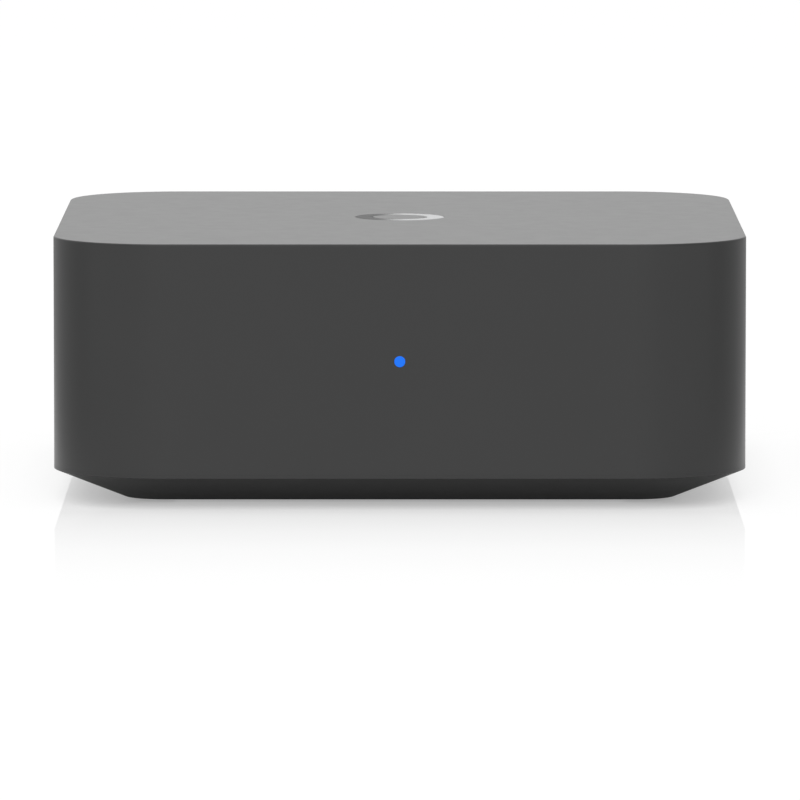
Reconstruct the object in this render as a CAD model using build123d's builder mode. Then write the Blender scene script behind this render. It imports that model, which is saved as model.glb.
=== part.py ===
from build123d import *
import math
import os

# Compact network music streamer, in millimetres.
# The front looks along -Y and the sockets along +Y. The origin is the middle of the foot pad's underside.

# Case shell
case_height = 49.5
corner_radius = 21.1
corner_clearance = 0.9
foot_lift = 0.5
bevel_height = 5.3
bevel_inset = 13.2
rim_height = 0.5
wall = 2.4
roof_thickness = 2.6
floor_thickness = 2.4
tray_wall = 2.2
top_edge_radius = 0.4
bevel_edge_radius = 0.5
seam_chamfer = 0.1
lip_thickness = 1.2
lip_height = 2.5
tray_shelf = 0.8

# Clearances
fit_gap = 0.1
slide_gap = 0.1
pin_gap = 0.05
seat_gap = 0.02
port_gap = 0.2
board_gap = 0.5
recess_gap = 0.3
level_gap = 0.001
overrun = 1.0

# Foot pad
pad_clearance = 2.0
pad_corner = 8.0
pad_recess = 0.8
pad_edge = 0.3

# Inlay ring on the roof
inlay_radius = 8.55
inlay_band = 3.3
inlay_thickness = 0.6

# Case screws, their bosses and ribs
case_screw_out = 2.0
case_screw_radius = 1.45
case_screw_length = 10.0
case_head_radius = 2.7
case_head_height = 1.8
case_head_sink = 2.6
case_key_width = 2.0
boss_radius = 3.6
base_boss_radius = 4.2
boss_rise = 0.2
pilot_spare = 1.0
rib_thickness = 1.2
rib_start = 12.0

# Main board and its standoffs
board_side_gap = 5.6
board_edge_gap = 0.3
board_corner = 14.0
board_thickness = 1.6
standoff_height = 4.6
standoff_radius = 3.2
standoff_in = 6.0
standoff_side_back = 15.0
standoff_front_out = 28.0
board_screw_radius = 1.0
board_screw_length = 5.4
board_head_radius = 2.1
board_head_height = 1.3
board_key_width = 1.4

# Rear panel
notch_top = 41.0
panel_recess = 0.8
flange_thickness = 1.0
flange_overlap = 1.2
column_gap = 3.0
inlet_margin = 1.3
line_margin = 2.76
port_recess = 0.2

# Power inlet
inlet_width = 8.94
inlet_height = 3.26
inlet_length = 7.4
inlet_shell = 0.3
inlet_rear_wall = 0.6
tongue_width = 6.7
tongue_thickness = 0.7
tongue_recess = 0.6
tongue_root = 1.8

# Network jack
jack_width = 16.0
jack_height = 13.4
jack_length = 15.8
jack_sheet = 0.4
jack_face_recess = 0.3
plug_width = 11.8
plug_height = 6.8
plug_floor = 3.8
plug_depth = 12.6
latch_width = 6.2
latch_height = 1.5
latch_tip_width = 3.3
latch_tip_height = 1.3
contact_count = 8
contact_pitch = 1.02
contact_width = 0.45
contact_sheet = 0.3
contact_drop = 1.9
contact_start = 3.4
contact_bend = 10.4
contact_slant = 0.9
window_width = 3.0
window_height = 1.6
window_depth = 4.0
window_side = 0.5
window_edge = 0.9

# Optical sockets
optical_width = 10.0
optical_height = 10.6
optical_length = 13.5
mouth_width = 7.2
mouth_height = 7.4
mouth_sill = 1.5
mouth_lip = 0.8
hinge_room = 0.9
chamber_depth = 9.3
shutter_gap = 0.15
shutter_thickness = 0.8
knuckle_radius = 0.7
shutter_pin_radius = 0.35
shutter_pin_bite = 0.8
lens_block = 6.2
lens_block_length = 2.6
lens_wall = 1.2
lens_radius = 1.5

# Line sockets
line_width = 11.0
line_length = 13.5
line_low_rise = 7.3
line_pitch = 14.0
line_top_edge = 5.9
collar_radius = 5.0
collar_proud = 0.8
barrel_radius = 4.15
barrel_wall = 0.6
barrel_step = 0.35
barrel_reach = 9.2
socket_depth = 7.5
socket_web = 1.0
core_proud = 1.4
centre_radius = 1.85
centre_bore = 1.6
centre_recess = 0.4
centre_tail = 2.0
barrel_edge = 0.15
panel_screw_radius = 1.25
panel_screw_length = 9.0
panel_head_radius = 1.8
panel_head_height = 1.2
panel_key_width = 1.6

# Reset button and its switch
reset_rise = 11.0
reset_radius = 1.5
reset_recess = 0.3
reset_travel = 0.5
stem_width = 2.0
sleeve_width = 5.0
sleeve_length = 7.6
leg_width = 3.0
leg_thickness = 1.6
leg_lift = 0.4
switch_width = 6.0
switch_height = 3.5
switch_length = 3.5
plunger_width = 2.9
plunger_height = 1.5
plunger_reach = 1.3
plunger_tail = 1.2

# Status light
light_radius = 1.0
light_end_radius = 0.2
pipe_width = 3.0
pipe_flange_width = 12.0
pipe_flange_height = 4.0
pipe_flange_thickness = 1.6
pipe_chamfer = 2.4
pipe_air = 0.5
stake_out = 4.5
stake_radius = 0.75
stake_length = 2.2
diode_in = 3.0
diode_width = 2.0
diode_depth = 1.6
diode_height = 0.8

# Processor, heat sink and its pins
processor_x = 6.0
processor_width = 15.0
processor_height = 1.2
thermal_width = 14.0
thermal_height = 1.0
sink_width = 44.0
sink_corner = 2.0
sink_base = 2.5
fin_count = 11
fin_height = 10.0
fin_thickness = 1.2
sink_pin_in = 5.0
sink_pin_radius = 1.2
sink_pin_tail = 1.5
sink_head_radius = 2.4
sink_head_height = 1.6
sink_head_room = 1.0

# Small parts on the board
memory_width = 8.0
memory_depth = 10.0
memory_height = 1.0
memory_x = -8.0
memory_out = 7.0
storage_x = 21.0
storage_width = 9.0
storage_depth = 11.0
storage_height = 1.0
converter_y = 8.0
converter_width = 9.0
converter_height = 1.0
crystal_out = 11.0
crystal_y = 5.0
crystal_pitch = 6.0
crystal_width = 5.0
crystal_depth = 3.2
crystal_height = 1.2
amplifier_y = 19.0
amplifier_width = 5.0
amplifier_depth = 4.0
amplifier_height = 1.5
audio_column_count = 4
audio_column_pitch = 8.0
audio_middle_x = -27.0
can_radius = 3.15
can_height = 7.7
can_base = 6.8
can_base_height = 0.9
can_crimp = 0.25
can_groove = 1.0
can_row_count = 2
can_row_pitch = 9.5
can_middle_y = 33.0
supply_radius = 4.0
supply_height = 10.5
supply_base = 8.4
supply_in = 8.5
supply_middle_y = 27.0
supply_pitch = 9.5
inductor_width = 6.2
inductor_height = 3.0
inductor_core_radius = 2.4
inductor_well = 0.75
inductor_in = 19.5
inductor_middle_y = 27.0
inductor_pitch = 8.5
inductor_count = 3
transformer_width = 15.0
transformer_depth = 8.5
transformer_height = 5.6
transformer_y = 38.5
transformer_edge = 0.4
chip_width = 1.6
chip_depth = 0.8
chip_height = 0.7
chip_pitch = 3.6
rear_patch_x = 1.0
rear_patch_y = 36.0
rear_patch_count = 5
side_patch_in = 8.0
side_patch_y = -12.0
side_patch_columns = 2
side_patch_rows = 8
front_patch_x = 4.0
front_patch_in = 13.0
front_patch_columns = 8
front_patch_rows = 2

# Wireless board, its shield, the antennas and their leads
wireless_in = 21.0
wireless_y = -20.0
wireless_width = 22.0
wireless_depth = 18.0
wireless_thickness = 0.8
shield_width = 17.0
shield_depth = 12.6
shield_height = 1.8
shield_y = -18.0
antenna_length = 28.0
antenna_width = 10.0
antenna_thickness = 0.3
antenna_z = 33.0
lead_radius = 0.55
lead_arc_share = 0.45
lead_turn_y = -20.0
solder_width = 2.4
solder_height = 1.2
aerial_plug_radius = 1.3
aerial_plug_height = 1.5
aerial_plug_y = -27.2
aerial_plug_out = 6.0
left_lead_points = [(-60.0, -32.0, 28.0), (-56.0, -38.0, 18.0), (-48.0, -38.0, 12.5), (-44.0, -33.0, 11.2)]
right_lead_points = [(60.0, -32.0, 28.0), (54.0, -38.0, 18.0), (40.0, -38.5, 13.0), (22.0, -36.0, 11.5),
                     (2.0, -37.0, 11.2), (-16.0, -35.0, 11.0), (-27.0, -33.0, 11.1)]

# The case is as wide as its row of sockets and a rounded corner at each end
notch_half = (inlet_margin + inlet_width + jack_width + 2 * optical_width + 2 * line_width
              + 5 * column_gap + line_margin) / 2
half_case = notch_half + corner_clearance + corner_radius
case_width = 2 * half_case

# Places worked out from the sizes above
foot_half = half_case - bevel_inset
foot_radius = corner_radius - bevel_inset
bevel_top = foot_lift + bevel_height
seam_z = bevel_top + rim_height
floor_top = foot_lift + floor_thickness
roof_under = case_height - roof_thickness
inner_half = half_case - wall
inner_radius = corner_radius - wall
lip_outer_half = inner_half - fit_gap
lip_inner_half = lip_outer_half - lip_thickness
tray_wall_across = tray_wall * math.hypot(bevel_inset, bevel_height) / bevel_height
cavity_low_half = foot_half + floor_thickness * bevel_inset / bevel_height - tray_wall_across
cavity_high_half = lip_inner_half - tray_shelf
light_z = (bevel_top + case_height) / 2

case_screw_spread = notch_half + case_screw_out
boss_seat_z = seam_z + boss_rise
case_hole_radius = case_screw_radius + pin_gap
case_recess_radius = case_head_radius + recess_gap
case_seat_z = foot_lift + case_head_sink
pilot_depth = case_seat_z + case_screw_length - boss_seat_z + pilot_spare
case_screw_spots = [(x * case_screw_spread, y * case_screw_spread) for x in (-1, 1) for y in (-1, 1)]
pad_width = 2 * (case_screw_spread - case_recess_radius - pad_clearance)

board_half = inner_half - board_side_gap
board_front = -board_half
board_bottom = floor_top + standoff_height
board_top = board_bottom + board_thickness
board_hole_radius = board_screw_radius + pin_gap
standoff_side = board_half - standoff_in
standoff_front = board_front + standoff_in
standoff_spots = [(-standoff_side, standoff_side_back), (standoff_side, standoff_side_back),
                  (-standoff_front_out, standoff_front), (standoff_front_out, standoff_front)]

flange_face_y = inner_half - fit_gap
panel_back_y = flange_face_y - flange_thickness
panel_face_y = half_case - panel_recess
port_face_y = panel_face_y - port_recess
board_rear = panel_back_y - board_edge_gap

# The sockets stand side by side, from the power inlet at +X to the line output at -X
inlet_x = notch_half - inlet_margin - inlet_width / 2
jack_x = inlet_x - inlet_width / 2 - column_gap - jack_width / 2
optical_out_x = jack_x - jack_width / 2 - column_gap - optical_width / 2
optical_in_x = optical_out_x - optical_width - column_gap
line_in_x = optical_in_x - optical_width / 2 - column_gap - line_width / 2
line_out_x = line_in_x - line_width - column_gap
inlet_z = board_top + inlet_height / 2
jack_z = board_top + jack_height / 2
optical_z = board_top + optical_height / 2
line_low_z = board_top + line_low_rise
line_high_z = line_low_z + line_pitch
line_screw_z = (line_low_z + line_high_z) / 2
line_block_top = line_high_z + line_top_edge
reset_z = board_top + reset_rise
socket_floor_y = panel_back_y - socket_depth
barrel_root_y = socket_floor_y + socket_web
barrel_end_y = panel_face_y + barrel_reach

plug_floor_z = board_top + plug_floor
plug_ceiling_z = plug_floor_z + plug_height
jack_face_y = port_face_y - jack_face_recess

mouth_floor_z = board_top + mouth_sill
chamber_height = mouth_height + hinge_room
shutter_pin_y = port_face_y - mouth_lip - knuckle_radius - shutter_gap
shutter_pin_z = mouth_floor_z + chamber_height - knuckle_radius - shutter_gap

sleeve_end_y = panel_back_y - sleeve_length
leg_face_y = sleeve_end_y - slide_gap
plunger_tip_y = leg_face_y - leg_thickness - slide_gap
switch_face_y = plunger_tip_y - plunger_reach
switch_z = board_top + switch_height / 2

diode_front = board_front + diode_in
supply_x = board_half - supply_in
inductor_x = board_half - inductor_in
converter_x = audio_middle_x
crystal_x = converter_x - crystal_out
wireless_x = wireless_in - board_half
processor_top = board_top + processor_height
sink_bottom = processor_top + thermal_height
sink_top = sink_bottom + sink_base
sink_pin_out = sink_width / 2 - sink_pin_in
sink_pin_spots = [(processor_x - sink_pin_out, -sink_pin_out), (processor_x + sink_pin_out, sink_pin_out)]
wireless_top = board_top + wireless_thickness
antenna_face = inner_half - antenna_thickness

os.makedirs("parts", exist_ok=True)


def keep(piece, name):
    """Label a finished piece and write it."""
    piece.part.label = name
    export_step(piece.part, f"parts/{name}.step")


def raise_plate(width, depth, radius, bottom, height, mode=Mode.ADD, middle=(0, 0)):
    """Extrude a rounded rectangle upwards in the piece being built."""
    with BuildSketch(Plane.XY.offset(bottom)) as outline:
        with Locations(middle):
            RectangleRounded(width, depth, radius)
    extrude(outline.sketch, amount=height, mode=mode)


def raise_blocks(spots, width, depth, bottom, height, mode=Mode.ADD):
    """Extrude a rectangle upwards at each spot in the piece being built."""
    with BuildSketch(Plane.XY.offset(bottom)) as outline:
        with Locations(*spots):
            Rectangle(width, depth)
    extrude(outline.sketch, amount=height, mode=mode)


def raise_discs(spots, radius, bottom, height, mode=Mode.ADD):
    """Extrude a circle upwards at each spot in the piece being built."""
    with BuildSketch(Plane.XY.offset(bottom)) as outline:
        with Locations(*spots):
            Circle(radius)
    extrude(outline.sketch, amount=height, mode=mode)


def push_blocks(spots, width, height, rear, length, mode=Mode.ADD):
    """Extrude a rectangle towards the front from a depth, at each (x, z) spot."""
    with BuildSketch(Plane.XZ.offset(-rear)) as outline:
        with Locations(*spots):
            Rectangle(width, height)
    extrude(outline.sketch, amount=length, mode=mode)


def push_discs(spots, radius, rear, length, mode=Mode.ADD):
    """Extrude a circle towards the front from a depth, at each (x, z) spot."""
    with BuildSketch(Plane.XZ.offset(-rear)) as outline:
        with Locations(*spots):
            Circle(radius)
    extrude(outline.sketch, amount=length, mode=mode)


def push_slot(spot, width, height, rear, length, mode=Mode.ADD):
    """Extrude a round-ended slot towards the front from a depth."""
    with BuildSketch(Plane.XZ.offset(-rear)) as outline:
        with Locations(spot):
            SlotOverall(width, height)
    extrude(outline.sketch, amount=length, mode=mode)


def make_top_housing():
    """Walls and roof in one moulding, with the screw bosses inside and the notch for the rear panel."""
    rib_end = inner_half + wall / 2
    rib_length = rib_end - case_screw_spread
    rib_top = case_height - roof_thickness / 2
    rib_spots = [(side * (case_screw_spread + rib_end) / 2, y) for side in (-1, 1)
                 for y in (-case_screw_spread, case_screw_spread)]
    with BuildPart() as housing:
        raise_plate(case_width, case_width, corner_radius, seam_z, case_height - seam_z)
        fillet(housing.faces().sort_by(Axis.Z)[-1].edges(), top_edge_radius)
        chamfer(housing.faces().sort_by(Axis.Z)[0].edges(), seam_chamfer)
        raise_plate(2 * inner_half, 2 * inner_half, inner_radius, seam_z - overrun,
                    roof_under - seam_z + overrun, Mode.SUBTRACT)
        raise_discs(case_screw_spots, boss_radius, boss_seat_z, rib_top - boss_seat_z)
        raise_blocks(rib_spots, rib_length, rib_thickness, rib_start, rib_top - rib_start)
        raise_discs(case_screw_spots, case_hole_radius, boss_seat_z - overrun, pilot_depth + overrun,
                    Mode.SUBTRACT)
        notch_height = notch_top - seam_z + overrun
        push_blocks([(0, notch_top - notch_height / 2)], 2 * notch_half, notch_height,
                    half_case + overrun, wall + 2 * overrun, Mode.SUBTRACT)
        push_discs([(0, light_z)], light_radius + pin_gap, overrun - inner_half, wall + 2 * overrun,
                   Mode.SUBTRACT)
        push_discs([(-stake_out, light_z), (stake_out, light_z)], stake_radius, stake_length - inner_half,
                   stake_length + wall / 2)
        with BuildSketch(Plane.XY.offset(case_height - inlay_thickness)):
            Circle(inlay_radius + pin_gap)
            Circle(inlay_radius - inlay_band - pin_gap, mode=Mode.SUBTRACT)
        extrude(amount=inlay_thickness + overrun, mode=Mode.SUBTRACT)
    keep(housing, "top_housing")


def make_inlay_ring():
    """Polished ring let into the middle of the roof."""
    with BuildPart() as ring:
        with BuildSketch(Plane.XY.offset(case_height - inlay_thickness)):
            Circle(inlay_radius)
            Circle(inlay_radius - inlay_band, mode=Mode.SUBTRACT)
        extrude(amount=inlay_thickness)
    keep(ring, "inlay_ring")


def make_base_cover():
    """Tray with the bevelled edge, the lip inside the housing, and the board's standoffs."""
    lip_outer_radius = corner_radius - (half_case - lip_outer_half)
    lip_inner_radius = corner_radius - (half_case - lip_inner_half)
    lip_cut_half = notch_half + flange_overlap + fit_gap
    lip_cut_depth = 2 * (half_case - lip_inner_half + overrun)
    standoff_root = floor_top - floor_thickness / 4
    with BuildPart() as base:
        with BuildSketch(Plane.XY.offset(foot_lift)):
            RectangleRounded(2 * foot_half, 2 * foot_half, foot_radius)
        with BuildSketch(Plane.XY.offset(bevel_top)):
            RectangleRounded(case_width, case_width, corner_radius)
        loft(ruled=True)
        raise_plate(case_width, case_width, corner_radius, bevel_top, rim_height)
        bevel_edges = [edge for edge in base.edges() if abs(edge.center().Z - bevel_top) < level_gap]
        fillet(bevel_edges, bevel_edge_radius)
        chamfer(base.faces().sort_by(Axis.Z)[-1].edges(), seam_chamfer)
        with BuildSketch(Plane.XY.offset(floor_top)):
            RectangleRounded(2 * cavity_low_half, 2 * cavity_low_half,
                             corner_radius - (half_case - cavity_low_half))
        with BuildSketch(Plane.XY.offset(seam_z)):
            RectangleRounded(2 * cavity_high_half, 2 * cavity_high_half,
                             corner_radius - (half_case - cavity_high_half))
        loft(ruled=True, mode=Mode.SUBTRACT)
        with BuildSketch(Plane.XY.offset(seam_z)):
            RectangleRounded(2 * lip_outer_half, 2 * lip_outer_half, lip_outer_radius)
            RectangleRounded(2 * lip_inner_half, 2 * lip_inner_half, lip_inner_radius, mode=Mode.SUBTRACT)
            with Locations((0, half_case)):
                Rectangle(2 * lip_cut_half, lip_cut_depth, mode=Mode.SUBTRACT)
        extrude(amount=lip_height)
        raise_discs(case_screw_spots, base_boss_radius, foot_lift, boss_seat_z - foot_lift)
        raise_discs(standoff_spots, standoff_radius, standoff_root, board_bottom - standoff_root)
        raise_discs(standoff_spots, board_hole_radius, board_top - board_screw_length - overrun / 2,
                    board_screw_length + overrun, Mode.SUBTRACT)
        raise_discs(case_screw_spots, case_hole_radius, foot_lift, boss_seat_z, Mode.SUBTRACT)
        raise_discs(case_screw_spots, case_recess_radius, foot_lift - overrun, case_head_sink + overrun,
                    Mode.SUBTRACT)
        raise_plate(pad_width + 2 * fit_gap, pad_width + 2 * fit_gap, pad_corner + fit_gap,
                    foot_lift - overrun, pad_recess + overrun, Mode.SUBTRACT)
    keep(base, "base_cover")


def make_foot_pad():
    """Soft pad in the tray's underside that the case stands on."""
    with BuildPart() as pad:
        raise_plate(pad_width, pad_width, pad_corner, 0, foot_lift + pad_recess)
        chamfer(pad.faces().sort_by(Axis.Z)[0].edges(), pad_edge)
    keep(pad, "foot_pad")


def add_screws_up(spots, radius, length, head_radius, head_height, key_width, seat):
    """Screws whose heads lie below their seat, driven upwards."""
    raise_discs(spots, radius, seat, length)
    raise_discs(spots, head_radius, seat - head_height, head_height)
    with BuildSketch(Plane.XY.offset(seat - head_height)) as key:
        with Locations(*spots):
            RegularPolygon(key_width / 2, 6, major_radius=False)
    extrude(key.sketch, amount=head_height / 2, mode=Mode.SUBTRACT)


def make_case_screws():
    """Four screws through the tray into the housing's bosses."""
    with BuildPart() as screws:
        add_screws_up(case_screw_spots, case_screw_radius, case_screw_length, case_head_radius,
                      case_head_height, case_key_width, case_seat_z)
    keep(screws, "case_screws")


def make_board_screws():
    """Four screws through the board into the tray's standoffs."""
    with BuildPart() as screws:
        raise_discs(standoff_spots, board_screw_radius, board_top - board_screw_length, board_screw_length)
        raise_discs(standoff_spots, board_head_radius, board_top, board_head_height)
        with BuildSketch(Plane.XY.offset(board_top + board_head_height / 2)):
            with Locations(*standoff_spots):
                RegularPolygon(board_key_width / 2, 6, major_radius=False)
        extrude(amount=board_head_height, mode=Mode.SUBTRACT)
    keep(screws, "board_screws")


def make_panel_screws():
    """Two screws through the rear panel into the line socket blocks."""
    spots = [(line_in_x, line_screw_z), (line_out_x, line_screw_z)]
    with BuildPart() as screws:
        push_discs(spots, panel_screw_radius, panel_face_y, panel_screw_length)
        push_discs(spots, panel_head_radius, panel_face_y + panel_head_height, panel_head_height)
        with BuildSketch(Plane.XZ.offset(-panel_face_y - panel_head_height)):
            with Locations(*spots):
                RegularPolygon(panel_key_width / 2, 6, major_radius=False)
        extrude(amount=panel_head_height / 2, mode=Mode.SUBTRACT)
    keep(screws, "panel_screws")


def make_rear_io_panel():
    """Plate in the housing's notch, with a cut-out for each socket and the sleeve of the reset button."""
    plate_height = notch_top - fit_gap - seam_z
    flange_height = notch_top + flange_overlap - seam_z
    cut_from = panel_face_y + overrun
    cut_length = panel_face_y - panel_back_y + 2 * overrun
    collar_spots = [(x, z) for x in (line_in_x, line_out_x) for z in (line_low_z, line_high_z)]
    with BuildPart() as panel:
        push_blocks([(0, seam_z + plate_height / 2)], 2 * (notch_half - fit_gap), plate_height,
                    panel_face_y, panel_face_y - panel_back_y)
        push_blocks([(0, seam_z + flange_height / 2)], 2 * (notch_half + flange_overlap), flange_height,
                    flange_face_y, flange_thickness)
        push_blocks([(inlet_x, reset_z)], sleeve_width, sleeve_width, panel_back_y, sleeve_length)
        push_slot((inlet_x, inlet_z), inlet_width + 2 * port_gap, inlet_height + 2 * port_gap, cut_from,
                  cut_length, Mode.SUBTRACT)
        push_blocks([(jack_x, jack_z)], jack_width + 2 * port_gap, jack_height + 2 * port_gap, cut_from,
                    cut_length, Mode.SUBTRACT)
        push_blocks([(optical_out_x, optical_z), (optical_in_x, optical_z)], optical_width + 2 * port_gap,
                    optical_height + 2 * port_gap, cut_from, cut_length, Mode.SUBTRACT)
        push_discs(collar_spots, collar_radius + port_gap, cut_from, cut_length, Mode.SUBTRACT)
        push_discs([(line_in_x, line_screw_z), (line_out_x, line_screw_z)], panel_screw_radius + fit_gap,
                   cut_from, cut_length, Mode.SUBTRACT)
        push_discs([(inlet_x, reset_z)], reset_radius + slide_gap, cut_from, cut_from - panel_back_y,
                   Mode.SUBTRACT)
        push_blocks([(inlet_x, reset_z)], stem_width + 2 * slide_gap, stem_width + 2 * slide_gap, cut_from,
                    cut_from - sleeve_end_y + overrun, Mode.SUBTRACT)
    keep(panel, "rear_io_panel")


def make_reset_button():
    """Button that slides in the panel's sleeve, with a leg down to the switch behind the power inlet."""
    cap_rear = panel_face_y - reset_recess
    cap_end = panel_back_y + reset_travel + slide_gap
    leg_bottom = board_top + leg_lift
    leg_height = reset_z + stem_width / 2 - leg_bottom
    with BuildPart() as button:
        push_discs([(inlet_x, reset_z)], reset_radius, cap_rear, cap_rear - cap_end)
        push_blocks([(inlet_x, reset_z)], stem_width, stem_width, cap_rear - reset_radius,
                    cap_rear - reset_radius - leg_face_y + leg_thickness)
        push_blocks([(inlet_x, leg_bottom + leg_height / 2)], leg_width, leg_height, leg_face_y,
                    leg_thickness)
    keep(button, "reset_button")


def make_reset_switch():
    """Switch body on the board and the plunger that the button's leg pushes."""
    pocket = plunger_tail + reset_travel + slide_gap
    with BuildPart() as body:
        push_blocks([(inlet_x, switch_z)], switch_width, switch_height, switch_face_y, switch_length)
        push_blocks([(inlet_x, switch_z)], plunger_width + 2 * pin_gap, plunger_height + 2 * pin_gap,
                    switch_face_y + overrun, pocket + overrun, Mode.SUBTRACT)
    keep(body, "reset_switch_body")
    with BuildPart() as plunger:
        push_blocks([(inlet_x, switch_z)], plunger_width, plunger_height, plunger_tip_y,
                    plunger_reach + plunger_tail)
    keep(plunger, "reset_switch_plunger")


def make_light_pipe():
    """Clear pipe from the diode on the board to the round light in the front wall."""
    half = pipe_width / 2
    pipe_bottom = board_top + diode_height + pipe_air
    flange_back = pipe_flange_thickness - inner_half
    with BuildPart() as pipe:
        with BuildSketch(Plane.YZ.offset(-half)):
            with BuildLine():
                Polyline((diode_front - half, pipe_bottom), (diode_front + half, pipe_bottom),
                         (diode_front + half, light_z + half - pipe_chamfer),
                         (diode_front + half - pipe_chamfer, light_z + half), (flange_back, light_z + half),
                         (flange_back, light_z - half), (diode_front - half, light_z - half), close=True)
            make_face()
        extrude(amount=pipe_width)
        push_blocks([(0, light_z)], pipe_flange_width, pipe_flange_height, flange_back,
                    pipe_flange_thickness)
        push_discs([(-stake_out, light_z), (stake_out, light_z)], stake_radius + pin_gap,
                   flange_back + overrun, pipe_flange_thickness + 2 * overrun, Mode.SUBTRACT)
        push_discs([(0, light_z)], light_radius, -inner_half, wall)
        fillet(pipe.faces().sort_by(Axis.Y)[0].edges(), light_end_radius)
    keep(pipe, "light_pipe")


def make_main_board():
    """Printed board with the holes for the case bosses, its own screws and the heat sink's pins."""
    middle_y = (board_front + board_rear) / 2
    cut_height = board_thickness + 2 * overrun
    with BuildPart() as board:
        raise_plate(2 * board_half, board_rear - board_front, board_corner, board_bottom, board_thickness,
                    middle=(0, middle_y))
        raise_discs(case_screw_spots, base_boss_radius + board_gap, board_bottom - overrun, cut_height,
                    Mode.SUBTRACT)
        raise_discs(standoff_spots, board_hole_radius, board_bottom - overrun, cut_height, Mode.SUBTRACT)
        raise_discs(sink_pin_spots, sink_pin_radius + pin_gap, board_bottom - overrun, cut_height,
                    Mode.SUBTRACT)
    keep(board, "main_board")


def make_heat_sink():
    """Finned aluminium block over the processor, with its thermal pad and two pins."""
    fin_pitch = (sink_width - fin_thickness) / (fin_count - 1)
    fin_spots = [(processor_x + fin_pitch * (i - (fin_count - 1) / 2), 0) for i in range(fin_count)]
    with BuildPart() as sink:
        raise_plate(sink_width, sink_width, sink_corner, sink_bottom, sink_base, middle=(processor_x, 0))
        raise_blocks(fin_spots, fin_thickness, sink_width - 2 * sink_corner, sink_top - sink_base / 2,
                     fin_height + sink_base / 2)
        raise_discs(sink_pin_spots, sink_head_radius + sink_head_room, sink_top, fin_height + overrun,
                    Mode.SUBTRACT)
        raise_discs(sink_pin_spots, sink_pin_radius + pin_gap, sink_bottom - overrun,
                    sink_base + 2 * overrun, Mode.SUBTRACT)
    keep(sink, "heat_sink")
    with BuildPart() as pad:
        raise_blocks([(processor_x, 0)], thermal_width, thermal_width, processor_top, thermal_height)
    keep(pad, "thermal_pad")
    with BuildPart() as pins:
        pin_bottom = board_bottom - sink_pin_tail
        raise_discs(sink_pin_spots, sink_pin_radius, pin_bottom, sink_top - pin_bottom)
        raise_discs(sink_pin_spots, sink_head_radius, sink_top, sink_head_height)
    keep(pins, "heat_sink_pins")


def make_chips():
    """Flat chips on the board, one node for each kind."""
    chips = {
        "processor": ([(processor_x, 0)], processor_width, processor_width, processor_height),
        "memory_chips": ([(memory_x, -memory_out), (memory_x, memory_out)], memory_width, memory_depth,
                         memory_height),
        "storage_chip": ([(storage_x, 0)], storage_width, storage_depth, storage_height),
        "audio_converter": ([(converter_x, converter_y)], converter_width, converter_width,
                            converter_height),
        "clock_crystals": ([(crystal_x, crystal_y), (crystal_x, crystal_y - crystal_pitch)], crystal_width,
                           crystal_depth, crystal_height),
        "output_amplifiers": ([(x, amplifier_y) for x in audio_columns()], amplifier_width, amplifier_depth,
                              amplifier_height),
    }
    for name, (spots, width, depth, height) in chips.items():
        with BuildPart() as chip:
            raise_blocks(spots, width, depth, board_top, height)
        keep(chip, name)


def audio_columns():
    """The x places of the signal capacitors and of the amplifier in front of each pair."""
    first = audio_middle_x - audio_column_pitch * (audio_column_count - 1) / 2
    return [first + audio_column_pitch * i for i in range(audio_column_count)]


def add_cans(spots, radius, height, base_width):
    """Capacitor cans on square feet, with a crimped groove round the can."""
    groove_bottom = board_top + can_base_height + can_groove
    raise_blocks(spots, base_width, base_width, board_top, can_base_height)
    raise_discs(spots, radius, board_top + can_base_height, height - can_base_height)
    with BuildSketch(Plane.XY.offset(groove_bottom)) as ring:
        with Locations(*spots):
            Circle(radius + can_crimp)
            Circle(radius - can_crimp, mode=Mode.SUBTRACT)
    extrude(ring.sketch, amount=can_groove, mode=Mode.SUBTRACT)


def make_capacitors():
    """Signal capacitors near the line sockets and supply capacitors near the power inlet."""
    row_first = can_middle_y - can_row_pitch * (can_row_count - 1) / 2
    signal_spots = [(x, row_first + can_row_pitch * row) for x in audio_columns()
                    for row in range(can_row_count)]
    supply_spots = [(supply_x, supply_middle_y + side * supply_pitch / 2) for side in (-1, 1)]
    with BuildPart() as signal:
        add_cans(signal_spots, can_radius, can_height, can_base)
    keep(signal, "signal_capacitors")
    with BuildPart() as supply:
        add_cans(supply_spots, supply_radius, supply_height, supply_base)
    keep(supply, "supply_capacitors")


def make_power_inductors():
    """Square moulded inductors with a round wound middle."""
    spots = [(inductor_x, inductor_middle_y + inductor_pitch * (i - (inductor_count - 1) / 2))
             for i in range(inductor_count)]
    with BuildPart() as inductors:
        raise_blocks(spots, inductor_width, inductor_width, board_top, inductor_height)
        with BuildSketch(Plane.XY.offset(board_top + inductor_height - inductor_well)):
            with Locations(*spots):
                Circle((inductor_width / 2 + inductor_core_radius) / 2)
                Circle(inductor_core_radius, mode=Mode.SUBTRACT)
        extrude(amount=inductor_height, mode=Mode.SUBTRACT)
    keep(inductors, "power_inductors")


def make_network_transformer():
    """Moulded transformer block between the network jack and the processor."""
    with BuildPart() as block:
        raise_blocks([(jack_x, transformer_y)], transformer_width, transformer_depth, board_top,
                     transformer_height)
        chamfer(block.faces().sort_by(Axis.Z)[-1].edges(), transformer_edge)
    keep(block, "network_transformer")


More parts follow.
